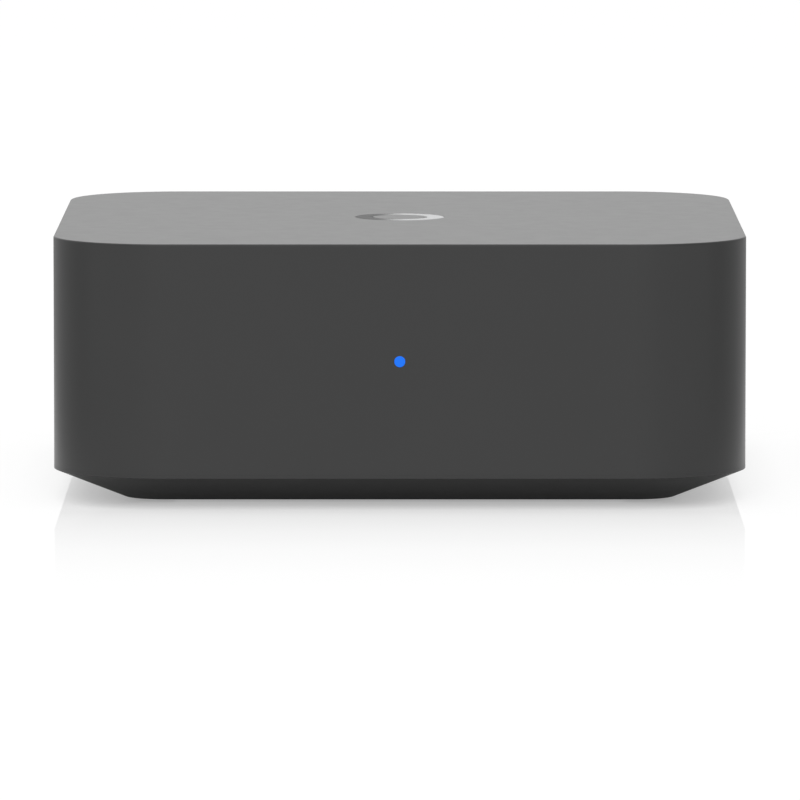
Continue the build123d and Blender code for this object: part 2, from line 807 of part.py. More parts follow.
def make_chip_parts():
    """Rows of small resistors and capacitors, in three patches of the board."""
    patches = [((rear_patch_x, rear_patch_y), rear_patch_count, rear_patch_count),
               ((board_half - side_patch_in, side_patch_y), side_patch_columns, side_patch_rows),
               ((front_patch_x, board_front + front_patch_in), front_patch_columns, front_patch_rows)]
    spots = []
    for (middle_x, middle_y), columns, rows in patches:
        for column in range(columns):
            for row in range(rows):
                spots.append((middle_x + chip_pitch * (column - (columns - 1) / 2),
                              middle_y + chip_pitch * (row - (rows - 1) / 2)))
    with BuildPart() as chips:
        raise_blocks(spots, chip_width, chip_depth, board_top, chip_height)
    keep(chips, "chip_parts")


def make_status_diode():
    """Light source on the board, under the foot of the light pipe."""
    with BuildPart() as diode:
        raise_blocks([(0, diode_front)], diode_width, diode_depth, board_top, diode_height)
    keep(diode, "status_diode")


def make_wireless():
    """Wireless board, its shield, the antennas on the side walls and their leads."""
    with BuildPart() as board:
        raise_blocks([(wireless_x, wireless_y)], wireless_width, wireless_depth, board_top,
                     wireless_thickness)
    keep(board, "wireless_board")
    with BuildPart() as shield:
        raise_plate(shield_width, shield_depth, shield_height / 2, wireless_top, shield_height,
                    middle=(wireless_x, shield_y))
    keep(shield, "wireless_shield")
    for name, side in (("antenna_left", -1), ("antenna_right", 1)):
        outer = side * inner_half
        with BuildPart() as antenna:
            with BuildSketch(Plane.YZ.offset(outer)):
                with Locations((0, antenna_z)):
                    Rectangle(antenna_length, antenna_width)
            extrude(amount=-side * antenna_thickness)
            with BuildSketch(Plane.YZ.offset(side * antenna_face)):
                with Locations((-antenna_length / 4, antenna_z)):
                    Rectangle(solder_width, solder_width)
            extrude(amount=-side * solder_height)
        keep(antenna, name)


def lead_path_length(points, radii):
    """Length of straight runs joined by tangent arcs."""
    places = [Vector(*point) for point in points]
    total = sum((b - a).length for a, b in zip(places, places[1:]))
    for before, corner, after, radius in zip(places, places[1:], places[2:], radii):
        turn = math.radians((corner - before).get_angle(after - corner))
        total -= radius * (2 * math.tan(turn / 2) - turn)
    return total


def make_lead(name, points):
    """Coaxial lead from an antenna to its plug on the wireless board, as runs joined by arcs."""
    places = [Vector(*point) for point in points]
    radii = []
    for before, corner, after in zip(places, places[1:], places[2:]):
        turn = math.radians((corner - before).get_angle(after - corner))
        shorter = min((corner - before).length, (after - corner).length)
        radii.append(lead_arc_share * shorter / math.tan(turn / 2))
    plug_spot = (points[-1][0], points[-1][1])
    with BuildPart() as lead:
        with BuildLine() as route:
            FilletPolyline(*points, radius=radii)
        with BuildSketch(Plane(origin=route.line @ 0, z_dir=route.line % 0)):
            Circle(lead_radius)
        sweep()
        tube_volume = lead.part.volume
        raise_discs([plug_spot], aerial_plug_radius, wireless_top, aerial_plug_height)
    length = lead_path_length(points, radii)
    print(name, "radii", [round(radius, 2) for radius in radii], "length", round(length, 1),
          "volume", round(tube_volume, 2), "section times length",
          round(math.pi * lead_radius ** 2 * length, 2))
    keep(lead, name)


def make_leads():
    """The two leads, which start square to the antennas' solder blocks and end in their plugs."""
    start_x = antenna_face - solder_height / 2
    start_y = -antenna_length / 4 - solder_width / 2
    plug_z = wireless_top + aerial_plug_height / 2
    make_lead("antenna_lead_left", [
        (-start_x, start_y, antenna_z), (-start_x, lead_turn_y, antenna_z), *left_lead_points,
        (wireless_x - aerial_plug_out, aerial_plug_y, plug_z)])
    make_lead("antenna_lead_right", [
        (start_x, start_y, antenna_z), (start_x, lead_turn_y, antenna_z), *right_lead_points,
        (wireless_x + aerial_plug_out, aerial_plug_y, plug_z)])


def make_power_inlet():
    """Oval power inlet: metal shell and the tongue inside it."""
    inner_width = inlet_width - 2 * inlet_shell
    inner_height = inlet_height - 2 * inlet_shell
    inner_rear = port_face_y - inlet_length + inlet_rear_wall
    with BuildPart() as shell:
        push_slot((inlet_x, inlet_z), inlet_width, inlet_height, port_face_y, inlet_length)
        push_slot((inlet_x, inlet_z), inner_width, inner_height, port_face_y + overrun,
                  port_face_y + overrun - inner_rear, Mode.SUBTRACT)
    keep(shell, "power_inlet_shell")
    with BuildPart() as tongue:
        push_slot((inlet_x, inlet_z), inner_width, inner_height, inner_rear + tongue_root, tongue_root)
        push_blocks([(inlet_x, inlet_z)], tongue_width, tongue_thickness, port_face_y - tongue_recess,
                    port_face_y - tongue_recess - inner_rear)
    keep(tongue, "power_inlet_tongue")


def make_network_jack():
    """Network jack: sheet shield, moulded insert, sprung contacts and two indicator windows."""
    inner_width = jack_width - 2 * jack_sheet
    inner_height = jack_height - jack_sheet
    insert_rear = port_face_y - jack_length + jack_sheet
    insert_z = board_top + inner_height / 2
    window_z = board_top + inner_height - window_edge - window_height / 2
    window_out = inner_width / 2 - window_side - window_width / 2
    window_spots = [(jack_x - window_out, window_z), (jack_x + window_out, window_z)]
    with BuildPart() as shield:
        push_blocks([(jack_x, jack_z)], jack_width, jack_height, port_face_y, jack_length)
        push_blocks([(jack_x, insert_z - overrun / 2)], inner_width, inner_height + overrun,
                    port_face_y + overrun, port_face_y + overrun - insert_rear, Mode.SUBTRACT)
    keep(shield, "network_jack_shield")
    with BuildPart() as insert:
        push_blocks([(jack_x, insert_z)], inner_width, inner_height, jack_face_y, jack_face_y - insert_rear)
        push_blocks([(jack_x, plug_floor_z + plug_height / 2)], plug_width, plug_height,
                    jack_face_y + overrun, plug_depth + overrun, Mode.SUBTRACT)
        push_blocks([(jack_x, plug_floor_z)], latch_width, 2 * latch_height, jack_face_y + overrun,
                    plug_depth + overrun, Mode.SUBTRACT)
        push_blocks([(jack_x, plug_floor_z)], latch_tip_width, 2 * (latch_height + latch_tip_height),
                    jack_face_y + overrun, plug_depth + overrun, Mode.SUBTRACT)
        push_blocks(window_spots, window_width, window_height, jack_face_y + overrun, window_depth + overrun,
                    Mode.SUBTRACT)
    keep(insert, "network_jack_insert")
    with BuildPart() as windows:
        push_blocks(window_spots, window_width, window_height, jack_face_y, window_depth)
    keep(windows, "network_jack_windows")
    contact_top = plug_ceiling_z - contact_drop + contact_sheet
    with BuildPart() as contacts:
        for i in range(contact_count):
            left = jack_x + contact_pitch * (i - (contact_count - 1) / 2) - contact_width / 2
            with BuildSketch(Plane.YZ.offset(left)):
                with BuildLine():
                    Polyline((jack_face_y - contact_start, plug_ceiling_z),
                             (jack_face_y - contact_bend, plug_ceiling_z - contact_drop),
                             (jack_face_y - plug_depth, plug_ceiling_z - contact_drop),
                             (jack_face_y - plug_depth, contact_top),
                             (jack_face_y - contact_bend, contact_top),
                             (jack_face_y - contact_start - contact_slant, plug_ceiling_z), close=True)
                make_face()
            extrude(amount=contact_width)
    keep(contacts, "network_jack_contacts")


def make_optical_socket(socket_x, name, lens_name):
    """Optical socket: housing, the shutter on its pin behind the mouth, and the light part at the back."""
    mouth_z = mouth_floor_z + mouth_height / 2
    chamber_z = mouth_floor_z + chamber_height / 2
    chamber_front = port_face_y - mouth_lip
    chamber_end = port_face_y - chamber_depth
    pocket_front = chamber_end - lens_wall
    housing_rear = port_face_y - optical_length
    pin_half = mouth_width / 2 + shutter_pin_bite
    shutter_half = mouth_width / 2 - shutter_gap
    shutter_bottom = mouth_floor_z + shutter_gap
    plate_front = shutter_pin_y + knuckle_radius
    with BuildPart() as housing:
        push_blocks([(socket_x, optical_z)], optical_width, optical_height, port_face_y, optical_length)
        push_blocks([(socket_x, mouth_z)], mouth_width, mouth_height, port_face_y + overrun,
                    mouth_lip + 2 * overrun, Mode.SUBTRACT)
        push_blocks([(socket_x, chamber_z)], mouth_width, chamber_height, chamber_front,
                    chamber_front - chamber_end, Mode.SUBTRACT)
        push_discs([(socket_x, mouth_z)], lens_radius + pin_gap, chamber_end + overrun,
                   lens_wall + 2 * overrun, Mode.SUBTRACT)
        push_blocks([(socket_x, mouth_z)], lens_block + 2 * pin_gap, lens_block + 2 * pin_gap, pocket_front,
                    pocket_front - housing_rear + overrun, Mode.SUBTRACT)
        with BuildSketch(Plane.YZ.offset(socket_x - pin_half)):
            with Locations((shutter_pin_y, shutter_pin_z)):
                Circle(shutter_pin_radius + seat_gap)
        extrude(amount=2 * pin_half, mode=Mode.SUBTRACT)
    keep(housing, f"{name}_housing")
    with BuildPart() as pin:
        with BuildSketch(Plane.YZ.offset(socket_x - pin_half)):
            with Locations((shutter_pin_y, shutter_pin_z)):
                Circle(shutter_pin_radius)
        extrude(amount=2 * pin_half)
    keep(pin, f"{name}_pin")
    with BuildPart() as shutter:
        with BuildSketch(Plane.YZ.offset(socket_x - shutter_half)):
            with Locations((shutter_pin_y, shutter_pin_z)):
                Circle(knuckle_radius)
        extrude(amount=2 * shutter_half)
        plate_height = shutter_pin_z - shutter_bottom
        push_blocks([(socket_x, shutter_bottom + plate_height / 2)], 2 * shutter_half, plate_height,
                    plate_front, shutter_thickness)
        with BuildSketch(Plane.YZ.offset(socket_x - pin_half)):
            with Locations((shutter_pin_y, shutter_pin_z)):
                Circle(shutter_pin_radius + pin_gap)
        extrude(amount=2 * pin_half, mode=Mode.SUBTRACT)
    keep(shutter, f"{name}_shutter")
    with BuildPart() as lens:
        push_blocks([(socket_x, mouth_z)], lens_block, lens_block, pocket_front, lens_block_length)
        push_discs([(socket_x, mouth_z)], lens_radius, chamber_end, lens_wall)
    keep(lens, f"{name}_{lens_name}")


def push_ring(spot, outer, inner, rear, length):
    """Extrude a ring towards the front from a depth."""
    with BuildSketch(Plane.XZ.offset(-rear)) as outline:
        with Locations(spot):
            Circle(outer)
            Circle(inner, mode=Mode.SUBTRACT)
    extrude(outline.sketch, amount=length)


def make_line_sockets(socket_x, name):
    """Block with two line sockets one above the other, each with its coloured insulator and its barrel."""
    spots = [(socket_x, line_low_z), (socket_x, line_high_z)]
    block_height = line_block_top - board_top
    collar_end = panel_face_y + collar_proud
    core_end = panel_face_y + core_proud
    barrel_bore = barrel_radius - barrel_wall
    seat_radius = barrel_radius - barrel_step
    with BuildPart() as block:
        push_blocks([(socket_x, board_top + block_height / 2)], line_width, block_height, panel_back_y,
                    line_length)
        push_discs(spots, collar_radius + pin_gap, panel_back_y + overrun, socket_depth + overrun,
                   Mode.SUBTRACT)
        push_discs(spots, centre_radius + pin_gap, socket_floor_y + overrun, centre_tail + overrun,
                   Mode.SUBTRACT)
        push_discs([(socket_x, line_screw_z)], panel_screw_radius + pin_gap, panel_back_y + overrun,
                   panel_screw_length + overrun, Mode.SUBTRACT)
    keep(block, f"{name}_block")
    for side, height in (("right", line_low_z), ("left", line_high_z)):
        spot = (socket_x, height)
        with BuildPart() as insulator:
            push_ring(spot, collar_radius, centre_radius + pin_gap, barrel_root_y, socket_web)
            push_ring(spot, collar_radius, seat_radius + pin_gap, collar_end, collar_end - barrel_root_y)
            push_ring(spot, barrel_bore - pin_gap, centre_radius + pin_gap, core_end,
                      core_end - barrel_root_y)
        keep(insulator, f"{name}_{side}_insulator")
        with BuildPart() as barrel:
            push_ring(spot, barrel_radius, barrel_bore, barrel_end_y, barrel_end_y - collar_end)
            push_ring(spot, seat_radius, barrel_bore, collar_end, collar_end - barrel_root_y)
            chamfer(barrel.faces().sort_by(Axis.Y)[-1].edges(), barrel_edge)
        keep(barrel, f"{name}_{side}_barrel")


def make_centre_contacts():
    """The four tubes that take the centre pins of the line plugs."""
    contact_front = panel_face_y + core_proud - centre_recess
    contact_rear = socket_floor_y - centre_tail
    with BuildPart() as contacts:
        for socket_x in (line_in_x, line_out_x):
            for height in (line_low_z, line_high_z):
                push_ring((socket_x, height), centre_radius, centre_bore, contact_front,
                          contact_front - contact_rear)
    keep(contacts, "centre_contacts")


make_top_housing()
make_inlay_ring()
make_base_cover()
make_foot_pad()
make_case_screws()
make_board_screws()
make_panel_screws()
make_rear_io_panel()
make_reset_button()
make_reset_switch()
make_light_pipe()
make_main_board()
make_heat_sink()
make_chips()
make_capacitors()
make_power_inductors()
make_network_transformer()
make_chip_parts()
make_status_diode()
make_wireless()
make_leads()
make_power_inlet()
make_network_jack()
make_optical_socket(optical_out_x, "optical_out", "emitter")
make_optical_socket(optical_in_x, "optical_in", "receiver")
make_line_sockets(line_in_x, "line_in")
make_line_sockets(line_out_x, "line_out")
make_centre_contacts()
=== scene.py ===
import logging
import math
from dataclasses import dataclass, field
from enum import Enum
from typing import Callable, ClassVar

import bmesh
import bpy
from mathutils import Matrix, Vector


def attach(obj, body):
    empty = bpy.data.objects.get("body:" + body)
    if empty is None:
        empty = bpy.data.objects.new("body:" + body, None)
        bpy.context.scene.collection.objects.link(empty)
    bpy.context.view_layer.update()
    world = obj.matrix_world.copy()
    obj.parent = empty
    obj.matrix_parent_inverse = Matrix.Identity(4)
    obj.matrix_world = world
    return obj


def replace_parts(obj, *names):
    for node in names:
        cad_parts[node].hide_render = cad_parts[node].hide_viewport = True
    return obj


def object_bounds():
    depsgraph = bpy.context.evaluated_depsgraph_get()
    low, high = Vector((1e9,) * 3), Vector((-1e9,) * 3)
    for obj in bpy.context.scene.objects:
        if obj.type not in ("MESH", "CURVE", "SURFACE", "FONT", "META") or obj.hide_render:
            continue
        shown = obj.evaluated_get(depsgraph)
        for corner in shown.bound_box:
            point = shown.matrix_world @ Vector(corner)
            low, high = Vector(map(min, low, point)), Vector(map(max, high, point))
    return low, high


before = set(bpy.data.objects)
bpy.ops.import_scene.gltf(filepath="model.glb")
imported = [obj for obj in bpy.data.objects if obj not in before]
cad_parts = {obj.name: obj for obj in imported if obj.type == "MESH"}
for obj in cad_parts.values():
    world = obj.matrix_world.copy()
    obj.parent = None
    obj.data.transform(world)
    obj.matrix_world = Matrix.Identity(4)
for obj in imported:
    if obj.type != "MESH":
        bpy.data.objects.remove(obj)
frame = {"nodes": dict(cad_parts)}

LOG = logging.getLogger("streamer")
MM = 0.001
ORIGIN = (0.0, 0.0, 0.0)
WHITE = (1.0, 1.0, 1.0, 1.0)
NEAR = 0.01
STRAIGHT = 0.9
LEVEL = 0.5
RIM_WIDTH = 0.1
GLOSS_SPREAD = 0.15
NOISE_MIDDLE = (0.3, 0.7)
CASE_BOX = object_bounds()
Colour = tuple[float, float, float]
Point = tuple[float, float, float]
Pair = tuple[float, float]
Stops = tuple[Pair, ...]
Rings = list[Pair]
Test = Callable[[Vector, Vector], bool]
Shape = bpy.types.Object
Material = bpy.types.Material
Node = bpy.types.Node
Socket = bpy.types.NodeSocket


class Axis(Enum):
    """The way a turned piece or a brushed finish points."""

    X = (1.0, 0.0, 0.0)
    Y = (0.0, 1.0, 0.0)
    Z = (0.0, 0.0, 1.0)


class Marks(Enum):
    """What a metal's tool left on it: how tightly the pattern changes along its axis, and across it."""

    PLAIN = (1.0, 1.0)
    BRUSHED = (0.02, 1.0)
    LATHED = (1.0, 0.0)


class Pick(Enum):
    """What is selected in edit mode."""

    POINTS = "VERT"
    EDGES = "EDGE"
    FACES = "FACE"


def shade(colour: Colour, share: float) -> Colour:
    """A colour made lighter or darker by a share of itself."""
    red, green, blue = (max(0.0, part * (1.0 + share)) for part in colour)
    return red, green, blue


class ShaderTree:
    """The nodes of a material or of the world; a node that is passed on stands for its first output."""

    def __init__(self, owner: Material | bpy.types.World) -> None:
        """Starts with no nodes.

        Args:
            owner: the material or the world.
        """
        owner.use_nodes = True
        self.owner = owner
        self.nodes = owner.node_tree.nodes
        self.links = owner.node_tree.links
        self.nodes.clear()

    def add(self, kind: str, inputs: dict | None = None, **settings: object) -> Node:
        """Adds a node.

        Args:
            kind: the node's type, without its common prefix.
            inputs: values, nodes or sockets for the node's inputs, by name or number.
            settings: the node's own properties.

        Returns:
            The node.
        """
        node = self.nodes.new("ShaderNode" + kind)
        for name, value in settings.items():
            setattr(node, name, value)
        for name, value in (inputs or {}).items():
            if isinstance(value, Node):
                value = value.outputs[0]
            if isinstance(value, Socket):
                self.links.new(value, node.inputs[name])
            else:
                node.inputs[name].default_value = value
        return node

    def place(self) -> Socket:
        """The socket that gives a point's place on the object, in metres."""
        return self.add("TexCoord").outputs["Object"]

    def part(self, place: Node | Socket, axis: str) -> Socket:
        """One coordinate of a place."""
        return self.add("SeparateXYZ", {0: place}).outputs[axis]

    def stretch(self, place: Socket, scale: tuple[float, ...]) -> Node:
        """Multiplies a place's coordinates."""
        return self.add("VectorMath", {0: place, 1: scale}, operation="MULTIPLY")

    def calc(self, operation: str, first: object, second: object = 0.0) -> Node:
        """Combines two values, each a number, a node or a socket."""
        return self.add("Math", {0: first, 1: second}, operation=operation)

    def ramp(self, value: Node | Socket, low: float, high: float, start: float = 0.0, end: float = 1.0,
             **settings: object) -> Node:
        """Maps the range from low to high to the one from start to end, and holds what lies outside."""
        return self.add("MapRange", {0: value, 1: low, 2: high, 3: start, 4: end}, **settings)

    def noise(self, size_mm: float, place: Node | Socket, detail: float = 2.0) -> Node:
        """Adds a noise with blotches of about one size, in so many finer layers."""
        return self.add("TexNoise", {"Vector": place, "Scale": 1.0 / (size_mm * MM), "Detail": detail})

    def spread(self, noise: Node, low: float = 0.0, high: float = 1.0) -> Node:
        """Maps a noise's middle range to a range of values."""
        return self.ramp(noise, *NOISE_MIDDLE, low, high)

    def uneven(self, noise: Node, roughness: float) -> Node:
        """A metal's roughness, which varies by a share of itself."""
        return self.spread(noise, roughness * (1.0 - GLOSS_SPREAD), roughness * (1.0 + GLOSS_SPREAD))

    def tint(self, share: Node, low: Colour, high: Colour) -> Socket:
        """Mixes two colours by a value from 0 to 1."""
        return self.add("Mix", {0: share, 6: (*low, 1.0), 7: (*high, 1.0)}, data_type="RGBA").outputs[2]

    def drifting(self, colour: Colour, drift: float, size_mm: float, place: Socket) -> Socket:
        """A colour that drifts by a share of itself in blotches of about one size."""
        share = self.spread(self.noise(size_mm, place))
        return self.tint(share, shade(colour, -drift), shade(colour, drift))

    def steps(self, value: Node | Socket, stops: Stops) -> Node:
        """Maps a value through a line with corners.

        Args:
            value: what is mapped, from 0 up.
            stops: the corners' values and results, in order; the last value is not 0.

        Returns:
            The mapped value.
        """
        reach = stops[-1][0]
        ramp = self.add("ValToRGB", {0: self.ramp(value, 0.0, reach)})
        corners = ramp.color_ramp.elements
        for number, (place, result) in enumerate(stops):
            corner = corners[number] if number < 2 else corners.new(place / reach)
            corner.position = place / reach
            corner.color = (result, result, result, 1.0)
        return ramp

    def bump(self, height: Node, relief_mm: float) -> Node:
        """The normal that a pattern from 0 to 1 gives when it stands out by a relief."""
        return self.add("Bump", {"Height": height, "Distance": relief_mm * MM, "Strength": 1.0})

    def ray(self, kind: str) -> Socket:
        """1 for rays of one kind and 0 for the others."""
        return self.add("LightPath").outputs[f"Is {kind} Ray"]

    def seen(self) -> Node:
        """1 for what the camera sees, straight or through something clear."""
        return self.calc("MAXIMUM", self.ray("Camera"), self.ray("Transmission"))

    def blend(self, share: Node | Socket, first: Node, second: Node) -> Node:
        """Mixes two shaders by a value from 0 to 1."""
        return self.add("MixShader", {0: share, 1: first, 2: second})

    def close(self, shader: Node) -> Material | bpy.types.World:
        """Joins the last shader to the output, and gives back what owns the nodes."""
        self.add("Output" + type(self.owner).__name__, {"Surface": shader})
        return self.owner


@dataclass(frozen=True)
class Finish:
    """What every finish has: a name, and a node material that it makes and keeps under that name."""

    name: str
    made: ClassVar[dict[str, Material]] = {}

    def surface(self, tree: ShaderTree) -> Node:
        """Adds the finish's own nodes and gives back the last shader."""
        raise NotImplementedError

    def build(self) -> Material:
        """Makes the node material and keeps it."""
        tree = ShaderTree(bpy.data.materials.new(self.name))
        return self.made.setdefault(self.name, tree.close(self.surface(tree)))


@dataclass(frozen=True)
class Moulded(Finish):
    """Moulded plastic or rubber: fine even grain, faint drift of colour, and uneven gloss."""

    colour: Colour
    roughness: float
    grain: float = 0.18
    relief: float = 0.0012
    drift: float = 0.05
    drift_size: float = 22.0
    unevenness: float = 0.03
    uneven_size: float = 3.0
    specular: float = 0.5
    coat: float = 0.0
    transmission: float = 0.0

    def surface(self, tree: ShaderTree) -> Node:
        """Adds the nodes.

        Args:
            tree: the material's nodes.

        Returns:
            The last shader.
        """
        place = tree.place()
        rough = tree.spread(tree.noise(self.uneven_size, place), self.roughness - self.unevenness,
                            self.roughness + self.unevenness)
        return tree.add("BsdfPrincipled", {
            "Base Color": tree.drifting(self.colour, self.drift, self.drift_size, place),
            "Roughness": rough, "Specular IOR Level": self.specular, "Coat Weight": self.coat,
            "Transmission Weight": self.transmission,
            "Normal": tree.bump(tree.noise(self.grain, place), self.relief)})


@dataclass(frozen=True)
class Metal(Finish):
    """Metal that is plated and plain, brushed along an axis, or turned on a lathe round one."""

    colour: Colour
    roughness: float
    marks: Marks = Marks.PLAIN
    axis: Axis = Axis.Y
    stroke: float = 0.05
    relief: float = 0.002
    drift: float = 0.06
    drift_size: float = 4.0

    def surface(self, tree: ShaderTree) -> Node:
        """Adds the nodes, with streaks along the axis or fine rings round it.

        Args:
            tree: the material's nodes.

        Returns:
            The last shader.
        """
        place = tree.place()
        along, across = self.marks.value
        scale = tuple(along if part else across for part in self.axis.value)
        marks = tree.noise(self.stroke, tree.stretch(place, scale), 3.0)
        return tree.add("BsdfPrincipled", {
            "Base Color": tree.drifting(self.colour, self.drift, self.drift_size, place), "Metallic": 1.0,
            "Roughness": tree.uneven(marks, self.roughness), "Normal": tree.bump(marks, self.relief)})


@dataclass(frozen=True)
class TwoTone(Finish):
    """Ring of turned metal on one side that passes into dark satin on the other; the dark side and the
    bright side are a painted reflection, laid by place across and not by the lamps.
    """

    metal: Colour
    satin: Colour
    metal_roughness: float = 0.24
    satin_roughness: float = 0.5
    satin_specular: float = 0.2
    dark_to: float = -4.5
    light_from: float = 1.5
    stroke: float = 0.06
    relief: float = 0.0015

    def surface(self, tree: ShaderTree) -> Node:
        """Adds the nodes.

        Args:
            tree: the material's nodes.

        Returns:
            The last shader.
        """
        place = tree.place()
        radius = tree.add("VectorMath", {0: tree.stretch(place, (1.0, 1.0, 0.0))}, operation="LENGTH")
        marks = tree.noise(self.stroke, tree.add("CombineXYZ", {0: radius.outputs["Value"]}), 3.0)
        normal = tree.bump(marks, self.relief)
        # painted reflection: dark satin on the left passing into bright metal on the right, set by place
        # across
        share = tree.ramp(tree.part(place, "X"), self.dark_to * MM, self.light_from * MM,
                          interpolation_type="SMOOTHSTEP")
        metal = tree.add("BsdfPrincipled", {
            "Base Color": (*self.metal, 1.0), "Metallic": 1.0,
            "Roughness": tree.uneven(marks, self.metal_roughness), "Normal": normal})
        satin = tree.add("BsdfPrincipled", {
            "Base Color": (*self.satin, 1.0), "Roughness": self.satin_roughness,
            "Specular IOR Level": self.satin_specular, "Normal": normal})
        return tree.blend(share, satin, metal)


@dataclass(frozen=True)
class LitPipe(Finish):
    """Clear acrylic that glows where it comes out of the front wall."""

    glow: Colour
    tip_y: float
    wall: float
    strength: float = 1.0
    lit_share: float = 0.4
    clear: Colour = (0.86, 0.9, 0.93)
    roughness: float = 0.12
    transmission: float = 0.85
    ripple: float = 0.6
    relief: float = 0.002

    def surface(self, tree: ShaderTree) -> Node:
        """Adds the nodes.

        Args:
            tree: the material's nodes.

        Returns:
            The last shader.
        """
        place = tree.place()
        near = tree.ramp(tree.part(place, "Y"), self.tip_y + self.lit_share * self.wall * MM,
                         self.tip_y + self.wall * MM, 1.0, 0.0)
        acrylic = tree.add("BsdfPrincipled", {
            "Base Color": (*self.clear, 1.0), "Roughness": self.roughness,
            "Transmission Weight": self.transmission,
            "Normal": tree.bump(tree.noise(self.ripple, place), self.relief)})
        lamp = tree.add("Emission", {"Color": (*self.glow, 1.0), "Strength": self.strength})
        return tree.blend(near, acrylic, lamp)


@dataclass(frozen=True)
class Laminate(Finish):
    """Printed board: mask over straight copper tracks that turn from patch to patch, with tinned vias."""

    mask: Colour
    track: Colour
    patch: float = 7.5
    pitch: float = 0.9
    across: Axis = Axis.Z
    via_cell: float = 4.6
    via_radius: float = 0.34
    via_stops: Stops = ((0.35, 0.0), (0.45, 1.0), (1.0, 1.0), (1.15, 0.0))
    track_edge: Pair = (0.14, 0.2)
    tin: Colour = (0.32, 0.33, 0.3)
    relief: float = 0.02
    scatter: float = 0.8
    roughness: float = 0.32
    coat: float = 0.3

    def tracks(self, tree: ShaderTree, place: Node, cells: Node) -> Node:
        """Lays parallel tracks along one way or the other in each patch.

        Args:
            tree: the material's nodes.
            place: the point's place.
            cells: the patches.

        Returns:
            1 on a track and 0 between tracks.
        """
        first, second = [tree.part(place, axis.name) for axis in Axis if axis is not self.across]
        chance = tree.add("SeparateColor", {0: cells.outputs["Color"]})
        running = tree.add("Mix", {0: tree.calc("GREATER_THAN", chance, 0.5), 2: first, 3: second})
        scaled = tree.calc("MULTIPLY", running, 1.0 / (self.pitch * MM))
        return tree.ramp(tree.calc("PINGPONG", scaled, 0.5), *self.track_edge, 1.0, 0.0)

    def surface(self, tree: ShaderTree) -> Node:
        """Adds the nodes.

        Args:
            tree: the material's nodes.

        Returns:
            The last shader.
        """
        place = tree.stretch(tree.place(), tuple(1.0 - part for part in self.across.value))
        cells = tree.add("TexVoronoi", {"Vector": place, "Scale": 1.0 / (self.patch * MM),
                                        "Randomness": self.scatter}, distance="CHEBYCHEV")
        tracks = self.tracks(tree, place, cells)
        dots = tree.add("TexVoronoi", {"Vector": place, "Scale": 1.0 / (self.via_cell * MM)})
        reach = self.via_radius / self.via_cell
        stops = [(share * reach, height) for share, height in self.via_stops]
        vias = tree.steps(dots.outputs["Distance"], (*stops, (1.0, 0.0)))
        colour = tree.add("Mix", {0: vias, 6: tree.tint(tracks, self.mask, self.track),
                                  7: (*self.tin, 1.0)}, data_type="RGBA")
        return tree.add("BsdfPrincipled", {
            "Base Color": colour.outputs[2], "Roughness": self.roughness, "Coat Weight": self.coat,
            "Normal": tree.bump(tree.calc("MAXIMUM", tracks, vias), self.relief)})


@dataclass(frozen=True)
class PhotoView:
    """The photograph's viewpoint, fitted to the outline in its 800 px frame."""

    frame_px: float = 800.0
    focal_px: float = 9076.65
    sensor_mm: float = 36.0
    back: float = 1741.7 * MM
    height: float = 186.9 * MM
    sideways: float = 0.04 * MM
    pitch: float = 0.0989
    nearest: float = 0.05
    farthest: float = 40.0

    def make(self) -> None:
        """Creates the camera and makes it the scene's."""
        data = bpy.data.cameras.new("photo_camera")
        data.sensor_width = self.sensor_mm
        data.lens = self.focal_px / self.frame_px * self.sensor_mm
        data.clip_start = self.nearest
        data.clip_end = self.farthest
        camera = bpy.data.objects.new("photo_camera", data)
        camera.location = (self.sideways, -self.back, self.height)
        camera.rotation_euler = (math.pi / 2 - self.pitch, 0.0, 0.0)
        bpy.context.scene.collection.objects.link(camera)
        bpy.context.scene.camera = camera


